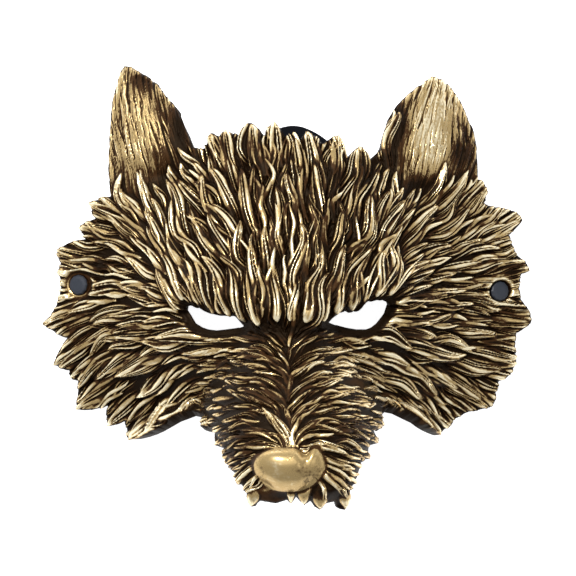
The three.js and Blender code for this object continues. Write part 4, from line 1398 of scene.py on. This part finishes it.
@dataclass
class Strap:
    """Flat woven elastic that lies under the mask from rivet to rivet, in millimetres."""

    width: float = 8.0
    thickness: float = 1.0
    float_gap: float = 0.1  # between the band and the table
    margin: float = 1.3  # how far the band stays flat past a washer's rim
    washer: float = 9.0
    ease: float = 0.7  # between the band and the shell's inner face
    wall: float = 4.0  # of the CAD model's shell, which the rivets' posts go through
    tail_fall: float = 0.25  # how much a tail drifts down the plan for each millimetre outwards
    around: int = 32  # points around the band
    # x and y in hundredths of the mask's half width and half height, rise in hundredths of a rivet's
    route: tuple = (
        (-76.7, 3.1, 104), (-71.8, 5.9, 52), (-65.3, 9.9, 10), (-58, 16.2, 0), (-47.3, 26.6, 0),
        (-35.9, 37.8, 0), (-24.5, 50, 0), (-14.7, 59.9, 0), (-6.5, 66.7, 0), (2.4, 69.5, 0), (10.6, 66.2, 0),
        (18.8, 58.6, 0), (28.6, 48.2, 0), (39.2, 36, 0), (49.8, 24.3, 0), (59.6, 14, 0), (66.9, 7.2, 10),
        (72.7, 2.7, 56), (77.6, 0.5, 109),
    )
    # millimetres that a tail's points lie outwards from a rivet and are lifted off the table, tip first
    tails: tuple = ((11.5, 0.2), (8.2, 0.5))
    # rivets, in the same hundredths as the route
    spots: tuple = ((-85.4, 1.4), (86.3, -1.4))

    def rivet_frame(self, form: ShellForm, spot: tuple[float, float]) -> tuple[Array, Array, Array]:
        """Place of a rivet on the face with its level and outward directions.

        Args:
            form: the shell's form.
            spot: x and y in hundredths of the mask's half width and half height.

        Returns:
            The place and the two directions.
        """
        x, y = form.across(spot[0]), form.along(spot[1])
        step = 5.0  # the slope is taken over twice this
        shifts = np.array(((0, 0), (step, 0), (-step, 0), (0, step), (0, -step)))
        here, right, left, above, below = form.face(x + shifts[:, 0], y + shifts[:, 1])
        slope_x = (right - left) / (2 * step)
        slope_y = (above - below) / (2 * step)
        normal = np.array((-slope_x, -slope_y, 1.0))
        level = np.array((1.0, 0.0, slope_x))
        centre = form.place(np.array(x), np.array(y), np.array(here))
        return centre, level / np.linalg.norm(level), normal / np.linalg.norm(normal)

    def course(self, form: ShellForm) -> Array:
        """Chosen points of the strap's middle line, from the left tail to the right one.

        Args:
            form: the shell's form.

        Returns:
            The points.
        """
        down = -self.wall - self.ease - self.thickness / 2
        table = self.thickness / 2 + self.float_gap
        flat = self.washer / 2 + self.margin
        ends = []
        tops = []
        for spot in self.spots:
            centre, level, normal = self.rivet_frame(form, spot)
            outward = math.copysign(1, centre[0])
            seat = centre + normal * down
            flats = [seat + level * flat * outward * k for k in (1, 0, -1)]
            tails = [np.array((seat[0] + outward * away, seat[1] - away * self.tail_fall, table + lift))
                     for away, lift in self.tails]
            tops.append(flats[2][2] - table)
            ends.append(tails + flats)
        middle = []
        for x, y, rise in self.route:
            top = tops[0] if x < 0 else tops[1]
            middle.append(np.array((form.across(x), form.along(y), table + top * rise / 100)))
        return np.array(ends[0] + middle + ends[1][::-1])

    @staticmethod
    def centripetal(points: Array, per_span: int) -> Array:
        """Smooth line through points, with the spacing of a centripetal spline.

        Args:
            points: the points.
            per_span: number of steps between two of them.

        Returns:
            The line's points.
        """
        ghost = np.concatenate([[2 * points[0] - points[1]], points, [2 * points[-1] - points[-2]]])
        line = []
        for i in range(len(points) - 1):
            p0, p1, p2, p3 = ghost[i:i + 4]
            gaps = [math.dist(p, q) ** 0.5 for p, q in ((p0, p1), (p1, p2), (p2, p3))]
            out = (p1 - p0) / gaps[0] - (p2 - p0) / (gaps[0] + gaps[1]) + (p2 - p1) / gaps[1]
            into = (p2 - p1) / gaps[1] - (p3 - p1) / (gaps[1] + gaps[2]) + (p3 - p2) / gaps[2]
            out, into = out * gaps[1], into * gaps[1]
            for k in range(per_span):
                t = k / per_span
                line.append(p1 + out * t + (-3 * p1 + 3 * p2 - 2 * out - into) * t * t
                            + (2 * p1 - 2 * p2 + out + into) * t ** 3)
        return np.array(line + [points[-1]])

    def build(self, form: ShellForm) -> bpy.types.Object:
        """Args:
            form: the shell's form, which the rivets sit on.

        Returns:
            The strap.
        """
        line = self.centripetal(self.course(form), 10)
        run = np.concatenate([[0], np.cumsum(np.linalg.norm(np.diff(line, axis=0), axis=1))])
        along = np.gradient(line, axis=0)
        along /= np.linalg.norm(along, axis=1, keepdims=True)
        side = np.stack([-along[:, 1], along[:, 0], np.zeros(len(line))], axis=1)
        side /= np.linalg.norm(side, axis=1, keepdims=True)
        up = np.cross(along, side)
        count = self.around
        turn = np.linspace(0, 2 * math.pi, count, endpoint=False)
        # a flat oval: powers below 1 square its corners
        across = np.sign(np.cos(turn)) * np.abs(np.cos(turn)) ** 0.45 * self.width / 2
        lift = np.sign(np.sin(turn)) * np.abs(np.sin(turn)) ** 0.6 * self.thickness / 2
        rings = (line[:, None, :] + side[:, None, :] * across[None, :, None]
                 + up[:, None, :] * lift[None, :, None])
        points = (rings.reshape(-1, 3) + np.array((*ORIGIN, 0))) * MM
        faces = []
        for i in range(len(line) - 1):
            for k in range(count):
                a, b = i * count + k, i * count + (k + 1) % count
                faces.append((a, b, b + count, a + count))
        last = (len(line) - 1) * count
        faces.append(tuple(range(count - 1, -1, -1)))
        faces.append(tuple(range(last, last + count)))
        data = bpy.data.meshes.new("elastic_band")
        data.from_pydata(points.tolist(), [], faces)
        weave = np.stack([
            np.repeat(run, count), np.tile(across, len(line)), np.tile(lift, len(line))], axis=1)
        layer = data.attributes.new("weave", "FLOAT_VECTOR", "POINT")
        layer.data.foreach_set("vector", weave.astype(np.float32).ravel())
        data.polygons.foreach_set("use_smooth", np.ones(len(data.polygons), bool))
        data.materials.append(ElasticBraid().build())
        piece = add_object("elastic_band", data)
        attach(piece, "root")
        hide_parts("elastic_strap")
        log.info("elastic_band: %.1f mm long", run[-1])
        return piece


@dataclass
class Studio:
    """Camera over the mask, soft lamps and a pale floor."""

    camera_height: float = 1.0
    half_view: float = 0.144  # metres of the floor from the picture's middle to its edge
    floor_reach: float = 3.0
    sky: str = "F2F4F7"
    sky_strength: float = 0.42
    # name, place in metres, side in metres, power in watts
    boxes: tuple = (
        ("soft_box", (-0.2, 0.35, 1.2), 1.2, 6.5),
        ("key", (-0.3, 0.6, 0.9), 0.09, 13.0),
        ("fill", (0.7, -0.2, 0.7), 0.5, 1.0),
    )

    def camera(self) -> None:
        """Sets the camera straight over the mask's plan."""
        data = bpy.data.cameras.new("camera")
        data.lens = data.sensor_width / 2 / (self.half_view / self.camera_height)
        camera = add_object("camera", data)
        camera.location = (ORIGIN[0] * MM, ORIGIN[1] * MM, self.camera_height)
        bpy.context.scene.camera = camera

    def lamps(self) -> None:
        """Hangs a broad soft box, a brighter key lamp and a fill, over a pale sky."""
        for name, spot, size, power in self.boxes:
            data = bpy.data.lights.new(name, "AREA")
            data.size, data.energy = size, power
            lamp = add_object(name, data)
            lamp.location = spot
            lamp.rotation_mode = "QUATERNION"
            lamp.rotation_quaternion = (-Vector(spot)).to_track_quat("-Z", "Y")
        world = bpy.data.worlds.new("sky")
        bpy.context.scene.world = world
        world.use_nodes = True
        background = world.node_tree.nodes["Background"]
        background.inputs["Color"].default_value = linear(self.sky)
        background.inputs["Strength"].default_value = self.sky_strength

    def floor(self) -> None:
        """Lays a plain floor that glows a little, so that it is as white as the photo's ground."""
        data = bpy.data.meshes.new("floor")
        reach = self.floor_reach
        corners = [(-reach, -reach, 0), (reach, -reach, 0), (reach, reach, 0), (-reach, reach, 0)]
        data.from_pydata(corners, [], [(0, 1, 2, 3)])
        material, tree = new_material("paper_floor_white")
        shader = add_node(tree, "ShaderNodeBsdfPrincipled", {
            "Base Color": linear("F4F4F4"), "Roughness": 0.9, "Emission Color": linear("FFFFFF"),
            "Emission Strength": 0.9})
        add_node(tree, "ShaderNodeOutputMaterial", {"Surface": shader.outputs[0]})
        data.materials.append(material)
        add_object("floor", data)


def dress_rivets() -> None:
    """Gives the rivets' caps and washers their nylon."""
    finish = SlatePlastic().build()
    for side in ("left", "right"):
        for part in ("cap", "washer"):
            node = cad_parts[f"rivet_{part}_{side}"]
            node.data.materials.clear()
            node.data.materials.append(finish)
            log.info("rivet_%s_%s: dressed", part, side)


def main() -> None:
    """Builds the scene: camera and strap first, then the shell, the rivets and the studio."""
    logging.basicConfig(level=logging.INFO, format="%(message)s")
    studio = Studio()
    studio.camera()
    shell = MaskShell()
    Strap().build(shell.form)
    shell.build()
    dress_rivets()
    studio.lamps()
    studio.floor()
    bpy.context.scene.view_settings.view_transform = "Standard"


if __name__ == "__main__":
    main()
